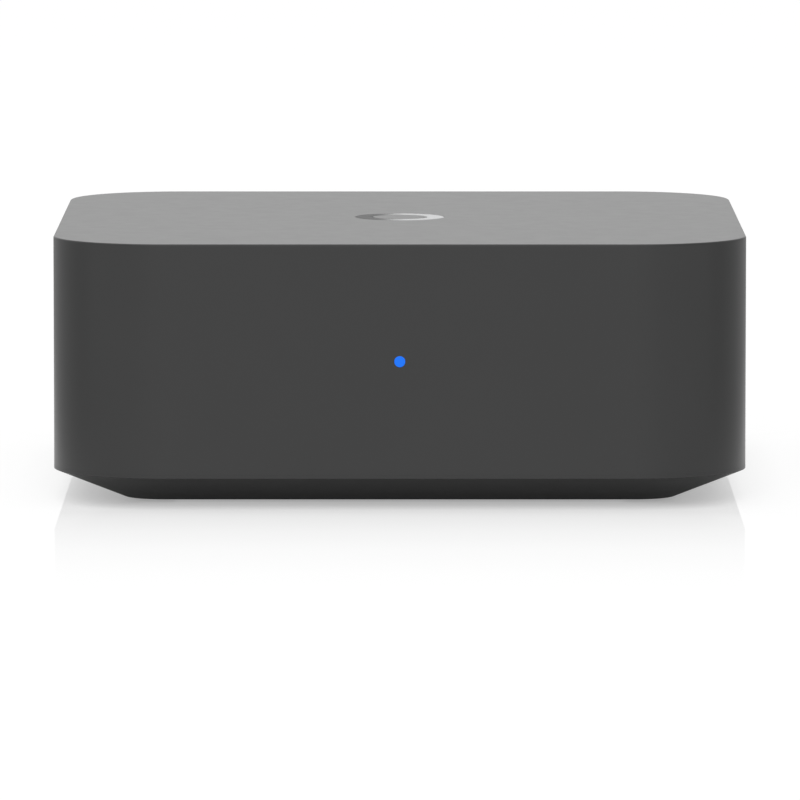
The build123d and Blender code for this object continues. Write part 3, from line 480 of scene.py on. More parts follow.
@dataclass(frozen=True)
class Studio:
    """Plain white studio: a soft world, two large lamps, and a floor that mirrors near the object."""

    world_light: float = 0.91
    dim_light: float = 0.78
    left_light: float = 0.46
    right_light: float = 0.4
    side_start: float = 0.1
    side_end: float = 0.42
    lamp_power: float = 3.0
    lamp_size: float = 1.6
    lamp_place: Point = (-0.6, 0.1, 1.7)
    front_power: float = 22.5
    front_size: float = 1.4
    front_place: Point = (-0.25, -2.2, 1.1)
    dim_from: float = 0.08
    dim_to: float = 0.18
    side_floor: float = 0.45
    back_from: float = -0.16
    back_to: float = -0.04
    # painted shadow: the floor's glow as seen in reflections, cut down next to the object
    near_stops: Stops = ((0.0455, 1.0), (0.048, 0.088), (0.067, 0.088), (0.085, 1.0))
    floor_half: float = 12.0
    floor_cells: int = 4
    floor_drop: float = 0.05
    # painted light: the floor under the object glows for bounced rays so that the underside is lit
    under_stops: Stops = ((0.045, 0.8), (0.049, 0.0))
    lamp_gain: float = 1.1
    share_stops: Stops = ((0.042, 0.1), (0.048, 0.62), (0.053, 0.53), (0.059, 0.455), (0.074, 0.1))
    mirror_stops: Stops = ((0.060, 0.2), (0.068, 0.216), (0.078, 0.166), (0.1, 0.105), (0.129, 0.055),
                           (0.165, 0.025), (0.23, 0.0))
    mirror_roughness: float = 0.02

    def make_world(self) -> None:
        """Lights everything evenly, less from the sides, and shows plain white behind the object."""
        tree = ShaderTree(bpy.data.worlds.new("studio_world"))
        across = tree.part(tree.add("TexCoord").outputs["Generated"], "X")
        left, right = (tree.ramp(across, way * self.side_start, way * self.side_end, 1.0, strength)
                       for way, strength in ((-1.0, self.left_light), (1.0, self.right_light)))
        both = tree.calc("MULTIPLY", left, right)
        room = tree.ramp(both, 0.0, 1.0, self.dim_light, self.world_light)
        strength = tree.add("Mix", {0: tree.ray("Glossy"), 2: room, 3: both})
        lit, shown = (tree.add("Background", {"Color": WHITE, "Strength": value})
                      for value in (strength, 1.0))
        bpy.context.scene.world = tree.close(tree.blend(tree.seen(), lit, shown))

    def make_lamps(self) -> None:
        """Hangs one large lamp above the object and one behind the camera, both a little to the left."""
        lamps = {"soft_lamp": (self.lamp_power, self.lamp_size, self.lamp_place),
                 "front_lamp": (self.front_power, self.front_size, self.front_place)}
        for name, (power, size, place) in lamps.items():
            data = bpy.data.lights.new(name, "AREA")
            data.energy = power
            data.size = size
            lamp = bpy.data.objects.new(name, data)
            lamp.location = place
            lamp.rotation_euler = (-Vector(place)).to_track_quat("-Z", "Y").to_euler()
            lamp.visible_glossy = name == "soft_lamp"
            bpy.context.scene.collection.objects.link(lamp)

    def floor_material(self) -> Material:
        """Pale floor: it keeps the object's shadow, shows white elsewhere, and mirrors near the object. Next
        to the object it carries a painted shadow that only reflections see, and under the object a painted
        glow that lights the underside.

        Returns:
            The material.
        """
        tree = ShaderTree(bpy.data.materials.new("studio_floor"))
        place = tree.place()
        along = tree.part(place, "Y")
        across = tree.calc("ABSOLUTE", tree.part(place, "X"))
        away = tree.calc("MAXIMUM", across, tree.calc("ABSOLUTE", along))
        share = tree.steps(away, self.share_stops)
        matt = tree.add("BsdfDiffuse", {"Color": tree.calc("MULTIPLY", share, self.lamp_gain)})
        side = tree.ramp(across, self.dim_from, self.dim_to, 0.0, 1.0 - self.side_floor)
        back = tree.ramp(along, self.back_from, self.back_to)
        kept = tree.calc("SUBTRACT", 1.0, tree.calc("MULTIPLY", side, back))
        # dimmer at the sides in front, plus a painted shadow next to the object that only reflections see
        side_dim_and_painted_shadow = tree.calc("MULTIPLY", kept, tree.steps(away, self.near_stops))
        white = tree.calc("MAXIMUM", tree.seen(), tree.calc("MULTIPLY", tree.ray("Glossy"), side_dim_and_painted_shadow))
        shown = tree.calc("MULTIPLY", white, tree.calc("SUBTRACT", 1.0, share))
        # painted light: glow from the floor under the object, seen only by bounced rays
        under = tree.calc("MULTIPLY", tree.ray("Diffuse"), tree.steps(away, self.under_stops))
        glow = tree.add("Emission", {"Color": WHITE, "Strength": tree.calc("ADD", shown, under)})
        lifted = tree.add("AddShader", {0: matt, 1: glow})
        mirror = tree.add("BsdfGlossy", {"Color": WHITE, "Roughness": self.mirror_roughness})
        glossy = tree.blend(tree.steps(away, self.mirror_stops), lifted, mirror)
        from_below = tree.add("NewGeometry").outputs["Backfacing"]
        return tree.close(tree.blend(from_below, glossy, tree.add("BsdfTransparent")))

    def make_floor(self) -> None:
        """Lays the floor that the object stands on."""
        take()
        bpy.ops.mesh.primitive_grid_add(x_subdivisions=self.floor_cells, y_subdivisions=self.floor_cells,
                                        size=2 * self.floor_half)
        floor = bpy.context.object
        floor.name = "studio_floor"
        floor.location.z = -self.floor_drop * MM
        floor.data.materials.append(self.floor_material())

    def make(self) -> None:
        """Builds the whole studio."""
        self.make_world()
        self.make_lamps()
        self.make_floor()


def facing(way: int) -> Test:
    """The test for faces that look up, with 1, or down, with -1."""
    return lambda point, normal: way * normal.z > STRAIGHT


def on_rim(half: float, corner: float, level: float) -> Test:
    """Makes the test for the edges round a plate with rounded corners, at one level.

    Args:
        half: half the plate's width.
        corner: the radius of its corners.
        level: the edges' height.

    Returns:
        The test.
    """
    side = half - corner
    return lambda point, along: (
        abs(point.z - level) < NEAR and abs(along.z) < LEVEL
        and math.hypot(*(max(abs(part) - side, 0.0) for part in point.xy)) > corner - RIM_WIDTH)


@dataclass(frozen=True)
class Placing:
    """Where a piece goes: turns about X, Y and Z in degrees, then a move in millimetres."""

    x: float = 0.0
    y: float = 0.0
    z: float = 0.0
    turn: float = 0.0
    lean: float = 0.0
    spin: float = 0.0


def take(shape: Shape | None = None) -> None:
    """Deselects every object, then selects a piece and makes it the active one.

    Args:
        shape: the piece, or none.
    """
    bpy.ops.object.select_all(action="DESELECT")
    if shape is not None:
        shape.select_set(True)
        bpy.context.view_layer.objects.active = shape


def edit(what: Pick = Pick.FACES) -> None:
    """Enters edit mode on the active object, with all of it selected.

    Args:
        what: the kind of element that is selected.
    """
    bpy.ops.object.mode_set(mode="EDIT")
    bpy.ops.mesh.select_mode(type=what.value)
    bpy.ops.mesh.select_all(action="SELECT")


def leave() -> None:
    """Returns to object mode."""
    bpy.ops.object.mode_set(mode="OBJECT")


def pick(test: Test, what: Pick = Pick.FACES) -> None:
    """Selects the elements of the active object that pass a test, and no others.

    Args:
        test: takes an element's middle in millimetres and its normal, or its direction for an edge,
            and says whether it is wanted.
        what: the kind of element.
    """
    data = bpy.context.object.data
    mesh = bmesh.from_edit_mesh(data)
    bpy.ops.mesh.select_mode(type=what.value)
    bpy.ops.mesh.select_all(action="DESELECT")
    mesh.normal_update()
    if what is Pick.FACES:
        found = [(face, face.calc_center_median(), face.normal) for face in mesh.faces]
    elif what is Pick.POINTS:
        found = [(point, point.co, point.normal) for point in mesh.verts]
    else:
        ends = [(edge, edge.verts[0].co, edge.verts[1].co) for edge in mesh.edges]
        found = [(edge, (start + end) / 2, (end - start).normalized()) for edge, start, end in ends]
    for element, middle, way in found:
        if test(middle / MM, way):
            element.select_set(True)
    mesh.select_flush_mode()
    bmesh.update_edit_mesh(data)


def extrude(z: float, y: float = 0.0) -> None:
    """Extrudes what is selected along Z, and along Y too if asked."""
    bpy.ops.mesh.extrude_region_move(TRANSFORM_OT_translate={"value": (0.0, y * MM, z * MM)})


def resize(x: float, y: float, z: float = 0.0) -> None:
    """Scales what is selected along X and Y, from a point at height z on the Z axis."""
    bpy.ops.transform.resize(value=(x, y, 1.0), center_override=(0.0, 0.0, z * MM))


def inset(*steps: Pair) -> None:
    """Insets the selected faces step by step, each step with a thickness and a depth."""
    for thickness, depth in steps:
        bpy.ops.mesh.inset(thickness=thickness * MM, depth=depth * MM)


def bevel(offset: float, segments: int, affect: str = "EDGES") -> None:
    """Rounds or cuts off the selected edges or points."""
    bpy.ops.mesh.bevel(offset=offset * MM, offset_pct=0.0, segments=segments, affect=affect)


def tidy(angle: float = 32.0) -> None:
    """Joins doubled points, turns the normals outwards and smooths the active object by angle.

    Args:
        angle: edges sharper than this stay sharp, in degrees.
    """
    edit(Pick.POINTS)
    bpy.ops.mesh.remove_doubles(threshold=0.002 * MM)
    bpy.ops.mesh.normals_make_consistent(inside=False)
    leave()
    bpy.ops.object.shade_smooth_by_angle(angle=math.radians(angle))


def ring(radius: float, sides: int, fill: str = "NOTHING") -> Shape:
    """Draws a circle on z = 0.

    Args:
        radius: its radius.
        sides: its points.
        fill: "NGON" if it has a face.

    Returns:
        The new object.
    """
    take()
    bpy.ops.mesh.primitive_circle_add(vertices=sides, radius=radius * MM, fill_type=fill, location=ORIGIN)
    return bpy.context.object


def turned(profile: Rings, sides: int = 96, closed: bool = False) -> Shape:
    """Draws a round piece ring by ring round +Z.

    Args:
        profile: the rings' radii and heights, in millimetres.
        sides: the points in a ring.
        closed: whether the last ring runs back into the first, as in a tube; if not, both ends are filled.

    Returns:
        The new object.
    """
    radius, height = profile[0]
    shape = ring(radius, sides)
    edit(Pick.POINTS)
    bpy.ops.transform.translate(value=(0.0, 0.0, height * MM))
    for next_radius, next_height in profile[1:] + (profile[:1] if closed else []):
        extrude(next_height - height)
        resize(next_radius / radius, next_radius / radius, next_height)
        radius, height = next_radius, next_height
    if not closed:
        bpy.ops.mesh.edge_face_add()
        pick(lambda point, normal: abs(point.z - profile[0][1]) < NEAR, Pick.POINTS)
        bpy.ops.mesh.edge_face_add()
    leave()
    tidy()
    return shape


def sheet(width: float, depth: float) -> Shape:
    """Draws a rectangle on z = 0 and stays in edit mode, with all of it selected.

    Args:
        width: its size along X.
        depth: its size along Y.

    Returns:
        The new object.
    """
    take()
    bpy.ops.mesh.primitive_plane_add(size=1.0, location=ORIGIN)
    edit(Pick.POINTS)
    resize(width * MM, depth * MM)
    return bpy.context.object


def block(width: float, depth: float, height: float, corner: float = 0.0, segments: int = 8) -> Shape:
    """Draws a plate with rounded or square corners, standing on z = 0.

    Args:
        width: its size along X.
        depth: its size along Y.
        height: its size along Z.
        corner: the radius of its upright corners, or 0 for square ones.
        segments: the steps in a corner.

    Returns:
        The new object.
    """
    shape = sheet(width, depth)
    if corner:
        bevel(corner, segments, "VERTICES")
    bpy.ops.mesh.select_all(action="SELECT")
    extrude(height)
    bpy.ops.mesh.select_all(action="SELECT")
    bpy.ops.mesh.normals_make_consistent(inside=False)
    leave()
    return shape


def cut(shape: Shape, cutter: Shape) -> None:
    """Cuts one closed piece out of another and removes the cutter.

    Args:
        shape: what stays.
        cutter: what is taken away.
    """
    take(shape)
    bpy.ops.object.modifier_add(type="BOOLEAN")
    modifier = shape.modifiers[-1]
    modifier.operation = "DIFFERENCE"
    modifier.solver = "EXACT"
    modifier.object = cutter
    bpy.ops.object.modifier_apply(modifier=modifier.name)
    bpy.data.objects.remove(cutter, do_unlink=True)


def put(shape: Shape, placing: Placing) -> None:
    """Turns and moves a piece, and keeps its place in its mesh.

    Args:
        shape: the piece.
        placing: where it goes.
    """
    take(shape)
    shape.rotation_euler = tuple(map(math.radians, (placing.turn, placing.lean, placing.spin)))
    shape.location = (placing.x * MM, placing.y * MM, placing.z * MM)
    bpy.ops.object.transform_apply(location=True, rotation=True, scale=True)


def twin(shape: Shape) -> Shape:
    """Duplicates a piece where it is.

    Args:
        shape: the piece.

    Returns:
        The copy, which is the active object.
    """
    take(shape)
    bpy.ops.object.duplicate()
    return bpy.context.object


def copies(shape: Shape, placings: list[Placing]) -> Shape:
    """Sets copies of a piece in their places and joins them into one.

    Args:
        shape: the piece that is copied; it becomes the first copy.
        placings: the places.

    Returns:
        The joined object.
    """
    shapes = [shape] + [twin(shape) for _ in placings[1:]]
    for each, placing in zip(shapes, placings):
        put(each, placing)
    return join(shapes)


def join(shapes: list[Shape]) -> Shape:
    """Joins pieces into the first of them.

    Args:
        shapes: the pieces.

    Returns:
        The joined object.
    """
    take(shapes[0])
    for shape in shapes:
        shape.select_set(True)
    if len(shapes) > 1:
        bpy.ops.object.join()
    return bpy.context.object


def finish(shape: Shape, name: str, look: str, body: str = "case") -> Shape:
    """Names a piece, gives it its finish and sets it on the body that carries it.

    Args:
        shape: the piece.
        name: its name.
        look: its finish's name.
        body: the body that it moves with.

    Returns:
        The same piece.
    """
    material = Finish.made[look]
    shape.name = name
    shape.data.name = name
    shape.data.materials.clear()
    shape.data.materials.append(material)
    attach(shape, body)
    LOG.info("modelled %s in %s on %s", name, material.name, body)
    return shape


@dataclass
class RoofRing:
    """Polished ring let into the roof, with softened edges."""

    outer: float = 8.55
    inner: float = 5.25
    bottom: float = 48.9
    top: float = 49.5
    edge: float = 0.12
    sides: int = 160

    def build(self) -> None:
        """Models the ring and puts it in the place of the plain one."""
        soft = self.edge / 4
        profile = [(self.outer, self.bottom), (self.outer, self.top - self.edge),
                   (self.outer - soft, self.top - soft), (self.outer - self.edge, self.top),
                   (self.inner + self.edge, self.top), (self.inner + soft, self.top - soft),
                   (self.inner, self.top - self.edge), (self.inner, self.bottom)]
        # its finish paints a reflection: a dark left side and a bright right side
        ring = finish(turned(profile, self.sides, closed=True), "roof_ring", "inlay_metal")
        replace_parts(ring, "inlay_ring")


@dataclass
class FootPad:
    """Moulded rubber pad with a rolled rim and shallow grooves underneath."""

    width: float = 80.0
    corner: float = 8.0
    height: float = 1.3
    rim: float = 0.45
    groove_width: float = 0.7
    groove_depth: float = 0.35
    bands: tuple[float, ...] = (2.4, 1.8)

    def build(self) -> None:
        """Models the pad and puts it in the place of the plain one."""
        pad = block(self.width, self.width, self.height, self.corner, 14)
        edit()
        pick(facing(-1))
        slope = self.groove_width / 4
        for band in self.bands:
            inset((band, 0.0), (slope, -self.groove_depth), (2 * slope, 0.0), (slope, self.groove_depth))
        pick(on_rim(self.width / 2, self.corner, 0.0), Pick.EDGES)
        bevel(self.rim, 4)
        leave()
        tidy()
        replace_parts(finish(pad, "moulded_foot_pad", "pad_rubber"), "foot_pad")


@dataclass
class BevelEdge:
    """Crisp moulded edge round the tray, where its upright rim turns into the bevel."""

    half: float = 64.996
    corner: float = 21.096
    bottom: float = 5.8
    height: float = 0.585
    depth: float = 0.8
    drop: float = 0.28
    lower_soft: float = 0.04
    upper_soft: float = 0.02
    steps: int = 36
    sharp: float = 15.0

    def build(self) -> None:
        """Models the edge as a closed band."""
        band = block(2 * self.half, 2 * self.half, self.height, self.corner, self.steps)
        edit()
        for way, drop in ((1, 0.0), (-1, self.drop)):
            pick(facing(way))
            inset((self.depth, drop))
        pick(lambda point, normal: point.xy.length < 1.0)
        bpy.ops.mesh.bridge_edge_loops()
        for level, soft in ((0.0, self.lower_soft), (self.height, self.upper_soft)):
            pick(on_rim(self.half, self.corner, level), Pick.EDGES)
            bevel(soft, 2)
        leave()
        put(band, Placing(z=self.bottom))
        tidy(self.sharp)
        finish(band, "bevel_edge", "case_plastic")


@dataclass
class SocketScrew:
    """Hexagon-socket screw with a softened head and a threaded shank."""

    head_radius: float
    head_height: float
    radius: float
    length: float
    key_width: float
    pitch: float = 0.7
    softness: float = 0.16
    rounding: Stops = ((2.0, 0.0), (0.7, 0.3), (0.0, 1.0))
    chamfer: float = 0.1
    root: float = 0.84
    groove: Pair = (0.45, 0.55)
    tip: float = 0.7
    key_sides: int = 6
    key_taper: Pair = (0.35, 0.125)
    sides: int = 48

    def profile(self) -> Rings:
        """The rings from the head's outer face to the tip.

        Returns:
            Radii and heights.
        """
        soft = self.head_height * self.softness
        rings = [(self.head_radius - share * soft, up * soft) for share, up in self.rounding]
        rings += [(self.head_radius, self.head_height - self.chamfer),
                  (self.head_radius - self.chamfer, self.head_height), (self.radius, self.head_height)]
        low = self.head_height + self.pitch
        for _ in range(int((self.length - 2 * self.pitch) / self.pitch)):
            rings += [(self.radius, low), *((self.radius * self.root, low + share * self.pitch)
                                            for share in self.groove)]
            low += self.pitch
        return rings + [(self.radius, low), (self.radius * self.tip, self.head_height + self.length)]

    def build(self, kind: str, placings: list[Placing]) -> None:
        """Models the screws and puts them in the place of the plain ones.

        Args:
            kind: what the screws hold.
            placings: where the heads' outer faces are.
        """
        screw = turned(self.profile(), self.sides)
        take()
        bpy.ops.mesh.primitive_cylinder_add(
            vertices=self.key_sides, radius=self.key_width / math.sqrt(3.0) * MM,
            depth=self.head_height * MM, location=ORIGIN)
        key = bpy.context.object
        edit()
        pick(facing(1))
        across, up = self.key_taper
        inset((across * self.key_width, up * self.head_height))
        leave()
        cut(screw, key)
        tidy()
        joined = copies(screw, placings)
        tidy()
        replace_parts(finish(joined, f"{kind}_socket_screws", "screw_steel"), f"{kind}_screws")


@dataclass
class LineBarrel:
    """Plated barrel of a line socket, with a rolled lip and a turned groove."""

    radius: float = 4.15
    bore: float = 3.55
    seat: float = 3.8
    root: float = 55.0
    collar: float = 65.0
    end: float = 73.4
    groove_back: float = 1.6
    groove_depth: float = 0.1
    groove_width: float = 0.45
    lip_steps: int = 8
    sides: int = 72

    def profile(self) -> Rings:
        """The closed section, from the root round the lip and back down the bore.

        Returns:
            Radii and heights.
        """
        lip = (self.radius - self.bore) / 2
        middle = (self.radius + self.bore) / 2
        rolled = [(middle + lip * math.cos(turn), self.end - lip + lip * math.sin(turn))
                  for turn in (math.pi * step / self.lip_steps for step in range(self.lip_steps + 1))]
        low = self.end - self.groove_back
        high = low + self.groove_width
        floor = self.radius - self.groove_depth
        return [(self.seat, self.root), (self.seat, self.collar), (self.radius, self.collar),
                (self.radius, low), (floor, low + self.groove_depth), (floor, high - self.groove_depth),
                (self.radius, high), *rolled, (self.bore, self.root)]

    def build(self, socket: str, placing: Placing) -> None:
        """Models one barrel and puts it in the place of the plain one.

        Args:
            socket: the socket's name, with its side.
            placing: where it goes.
        """
        barrel = turned(self.profile(), self.sides, closed=True)
        put(barrel, placing)
        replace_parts(finish(barrel, f"{socket}_rolled_barrel", "barrel_plating"), f"{socket}_barrel")


@dataclass
class CentreTubes:
    """Gold-flashed tubes in the line sockets, rolled at the mouth and slit so that they spring."""

    radius: float = 1.85
    bore: float = 1.6
    root: float = 52.0
    end: float = 65.2
    slit_width: float = 0.35
    slit_depth: float = 4.0
    softness: float = 0.3
    sides: int = 48

    def build(self, places: list[Placing]) -> None:
        """Models one tube, copies it and puts the copies in the place of the plain ones.

        Args:
            places: the tubes' places.
        """
        wall = self.radius - self.bore
        soft = self.softness * wall
        profile = [(self.radius, self.root), (self.radius, self.end - wall), (self.radius - soft, self.end),
                   (self.bore + soft, self.end), (self.bore, self.end - wall), (self.bore, self.root)]
        tube = turned(profile, self.sides, closed=True)
        span = 2 * (self.radius + wall)
        for width, depth in ((span, self.slit_width), (self.slit_width, span)):
            slit = block(width, depth, self.slit_depth + wall, self.slit_width / 4, 2)
            put(slit, Placing(z=self.end - self.slit_depth))
            cut(tube, slit)
        tidy()
        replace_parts(finish(copies(tube, places), "sprung_centre_tubes", "contact_gold"), "centre_contacts")


@dataclass
class OpticalShutter:
    """Spring-loaded flap of an optical socket, with a sunken panel and a knuckle on its pin."""

    width: float = 6.9
    bottom: float = 10.75
    front: float = 63.05
    thickness: float = 0.8
    pin_z: float = 18.05
    pin_y: float = 62.35
    knuckle: float = 0.7
    chamfer: float = 0.1
    pin_bore: float = 0.4
    frame: float = 0.9
    sink: float = 0.22
    softness: float = 0.12
    sides: int = 32

    def build(self, socket: str, x: float) -> None:
        """Models one flap on its own body.

        Args:
            socket: the socket's name.
            x: the socket's place across.
        """
        half = self.width / 2
        height = self.pin_z - self.bottom
        plate = block(self.width, height, self.thickness)
        edit()
        pick(facing(-1))
        inset((self.frame, 0.0), (self.sink, -self.sink), (self.frame, 0.0), (self.sink, self.sink / 2))
        pick(lambda point, along: abs(point.x) > half - NEAR and abs(point.z) < NEAR, Pick.EDGES)
        bevel(self.softness, 3)
        leave()
        put(plate, Placing(x, self.front, self.bottom + height / 2, 90.0))
        end, level = self.knuckle - self.chamfer, half - self.chamfer
        profile = [(end, -half), (self.knuckle, -level), (self.knuckle, level), (end, half),
                   (self.pin_bore, half), (self.pin_bore, -half)]
        knuckle = turned(profile, self.sides, closed=True)
        put(knuckle, Placing(x, self.pin_y, self.pin_z, lean=90.0))
        shutter = join([plate, knuckle])
        tidy()
        piece = finish(shutter, f"{socket}_moulded_flap", "shutter_plastic", f"{socket}_shutter")
        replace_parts(piece, f"{socket}_shutter")


@dataclass
class InletPads:
    """Contact pads on both faces of the power inlet's tongue."""

    z: float = 10.73
    tongue_half: float = 0.35
    front: float = 63.1
    count: int = 10
    pitch: float = 0.58
    width: float = 0.32
    length: float = 4.2
    lift: float = 0.04

    def build(self, x: float) -> None:
        """Models one pad and copies it along both faces.

        Args:
            x: the inlet's place across.
        """
        pad = block(self.width, self.length, self.lift, self.width / 4, 3)
        first = x - self.pitch * (self.count - 1) / 2
        places = [Placing(first + self.pitch * number, self.front - self.length / 2, level)
                  for level in (self.z + self.tongue_half, self.z - self.tongue_half - self.lift)
                  for number in range(self.count)]
        pads = copies(pad, places)
        tidy()
        finish(pads, "power_inlet_pads", "contact_gold")


@dataclass
class Can:
    """Electrolytic capacitor can: a black foot with two cut corners, a crimped can and a scored top."""

    radius: float
    height: float
    foot: float
    foot_height: float = 0.9
    lip: float = 0.15
    neck: float = 1.0
    crimp: float = 0.25
    waist: Stops = ((0.0, 0.0), (0.7, 0.2), (1.0, 0.5), (0.7, 0.8), (0.0, 1.0))
    soft: float = 0.35
    rounding: Stops = ((0.0, 1.0), (0.3, 0.3), (1.0, 0.0))
    score: float = 0.14
    score_reach: float = 1.3
    corner_round: float = 0.4
    corner_cut: float = 1.3
    sides: int = 56

    def profile(self) -> Rings:
        """The can's rings from the foot to the rolled top.

        Returns:
            Radii and heights.
        """
        neck = self.foot_height + self.neck
        waist = [(self.radius - share * self.crimp, neck + up) for share, up in self.waist]
        rolled = [(self.radius - share * self.soft, self.height - drop * self.soft)
                  for share, drop in self.rounding]
        return [(self.radius - self.lip, self.foot_height), (self.radius, self.foot_height + self.lip),
                *waist, *rolled]

    def build(self, name: str, places: list[Placing]) -> None:
        """Models a can and its foot, and puts copies in the place of the plain ones.

        Args:
            name: what the capacitors are called.
            places: the capacitors' places on the board.
        """
        can = turned(self.profile(), self.sides)
        length = self.score_reach * self.radius
        for width, depth in ((length, self.score), (self.score, length)):
            groove = block(width, depth, 2 * self.score, self.score / 3, 2)
            put(groove, Placing(z=self.height - self.score))
            cut(can, groove)
        tidy()
        cans = finish(copies(can, places), f"{name}_scored_cans", "can_aluminium")
        foot = block(self.foot, self.foot, self.foot_height)
        edit()
        for side, offset, steps in ((-1, self.corner_round, 3), (1, self.corner_cut, 1)):
            pick(lambda point, along: abs(along.z) > STRAIGHT and side * point.x > 0.0, Pick.EDGES)
            bevel(offset, steps)
        leave()
        tidy()
        feet = finish(copies(foot, places), f"{name}_feet", "jack_plastic")
        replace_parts(cans, f"{name}_capacitors")
        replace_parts(feet, f"{name}_capacitors")


@dataclass
class ChipLegs:
    """Bent tinned legs along two sides of a chip."""

    half_depth: float
    shoulder: float
    count: int
    pitch: float
    width: float = 0.4
    sheet: float = 0.16
    reach: float = 0.95
    flat: float = 0.3
    knee: Pair = (0.15, 0.12)
    shin: float = 0.1
    heel: Pair = (0.12, 0.12)

    def one(self) -> Shape:
        """Models one leg, from the chip's side outwards along +Y and down to the board.

        Returns:
            The leg.
        """
        leg = sheet(self.width, self.sheet)
        bpy.ops.transform.rotate(value=math.pi / 2, orient_axis="X", center_override=ORIGIN)
        bpy.ops.transform.translate(value=(0.0, self.half_depth * MM, self.shoulder * MM))
        drop = self.shoulder - self.sheet / 2
        (knee_out, knee_drop), (heel_out, heel_drop) = self.knee, self.heel
        toe = self.reach - (self.flat + knee_out + self.shin + heel_out)
        for out, up in ((self.flat, 0.0), (knee_out, -knee_drop), (self.shin, knee_drop + heel_drop - drop),
                        (heel_out, -heel_drop), (toe, 0.0)):
            extrude(up, out)
        leave()
        return leg

    def build(self, name: str, places: list[Placing]) -> None:
        """Models the legs of chips at some places.

        Args:
            name: the piece's name.
            places: the chips' places on the board.
        """
        first = -self.pitch * (self.count - 1) / 2
        near = copies(self.one(), [Placing(first + self.pitch * number) for number in range(self.count)])
        far = twin(near)
        edit(Pick.POINTS)
        resize(1.0, -1.0)
        leave()
        legs = copies(join([near, far]), places)
        tidy()
        finish(legs, name, "shield_tin")


@dataclass
class ChipEnds:
    """Tinned ends of the small ceramic parts, which stand on the board in even patches."""

    pitch: float = 3.6
    length: float = 1.6
    depth: float = 0.8
    height: float = 0.7
    end: float = 0.34
    wrap: float = 0.02
    patches: tuple[tuple[float, float, int, int], ...] = ((1.0, 36.0, 5, 5), (49.0, -12.0, 2, 8),
                                                          (4.0, -44.0, 8, 2))

    def build(self, level: float) -> None:
        """Models one end and copies it to both ends of every part.

        Args:
            level: the board's top.
        """
        end = block(self.end + self.wrap, self.depth + 2 * self.wrap, self.height + self.wrap)
        out = (self.length - self.end + self.wrap) / 2
        places = [Placing(x + self.pitch * (column - (columns - 1) / 2) + side * out,
                          y + self.pitch * (row - (rows - 1) / 2), level)
                  for x, y, columns, rows in self.patches
                  for column in range(columns) for row in range(rows) for side in (-1, 1)]
        finish(copies(end, places), "chip_part_ends", "shield_tin")


@dataclass
class ChipDots:
    """Printed dots that mark the chips' first corners, rooted in the moulding."""

    radius: float = 0.34
    root: float = 0.3
    proud: float = 0.02
    sides: int = 24

    def build(self, places: list[Placing]) -> None:
        """Models one dot and copies it to its places on the chips' tops."""
        dot = turned([(self.radius, -self.root), (self.radius, self.proud)], self.sides)
        finish(copies(dot, places), "chip_dots", "panel_ink")


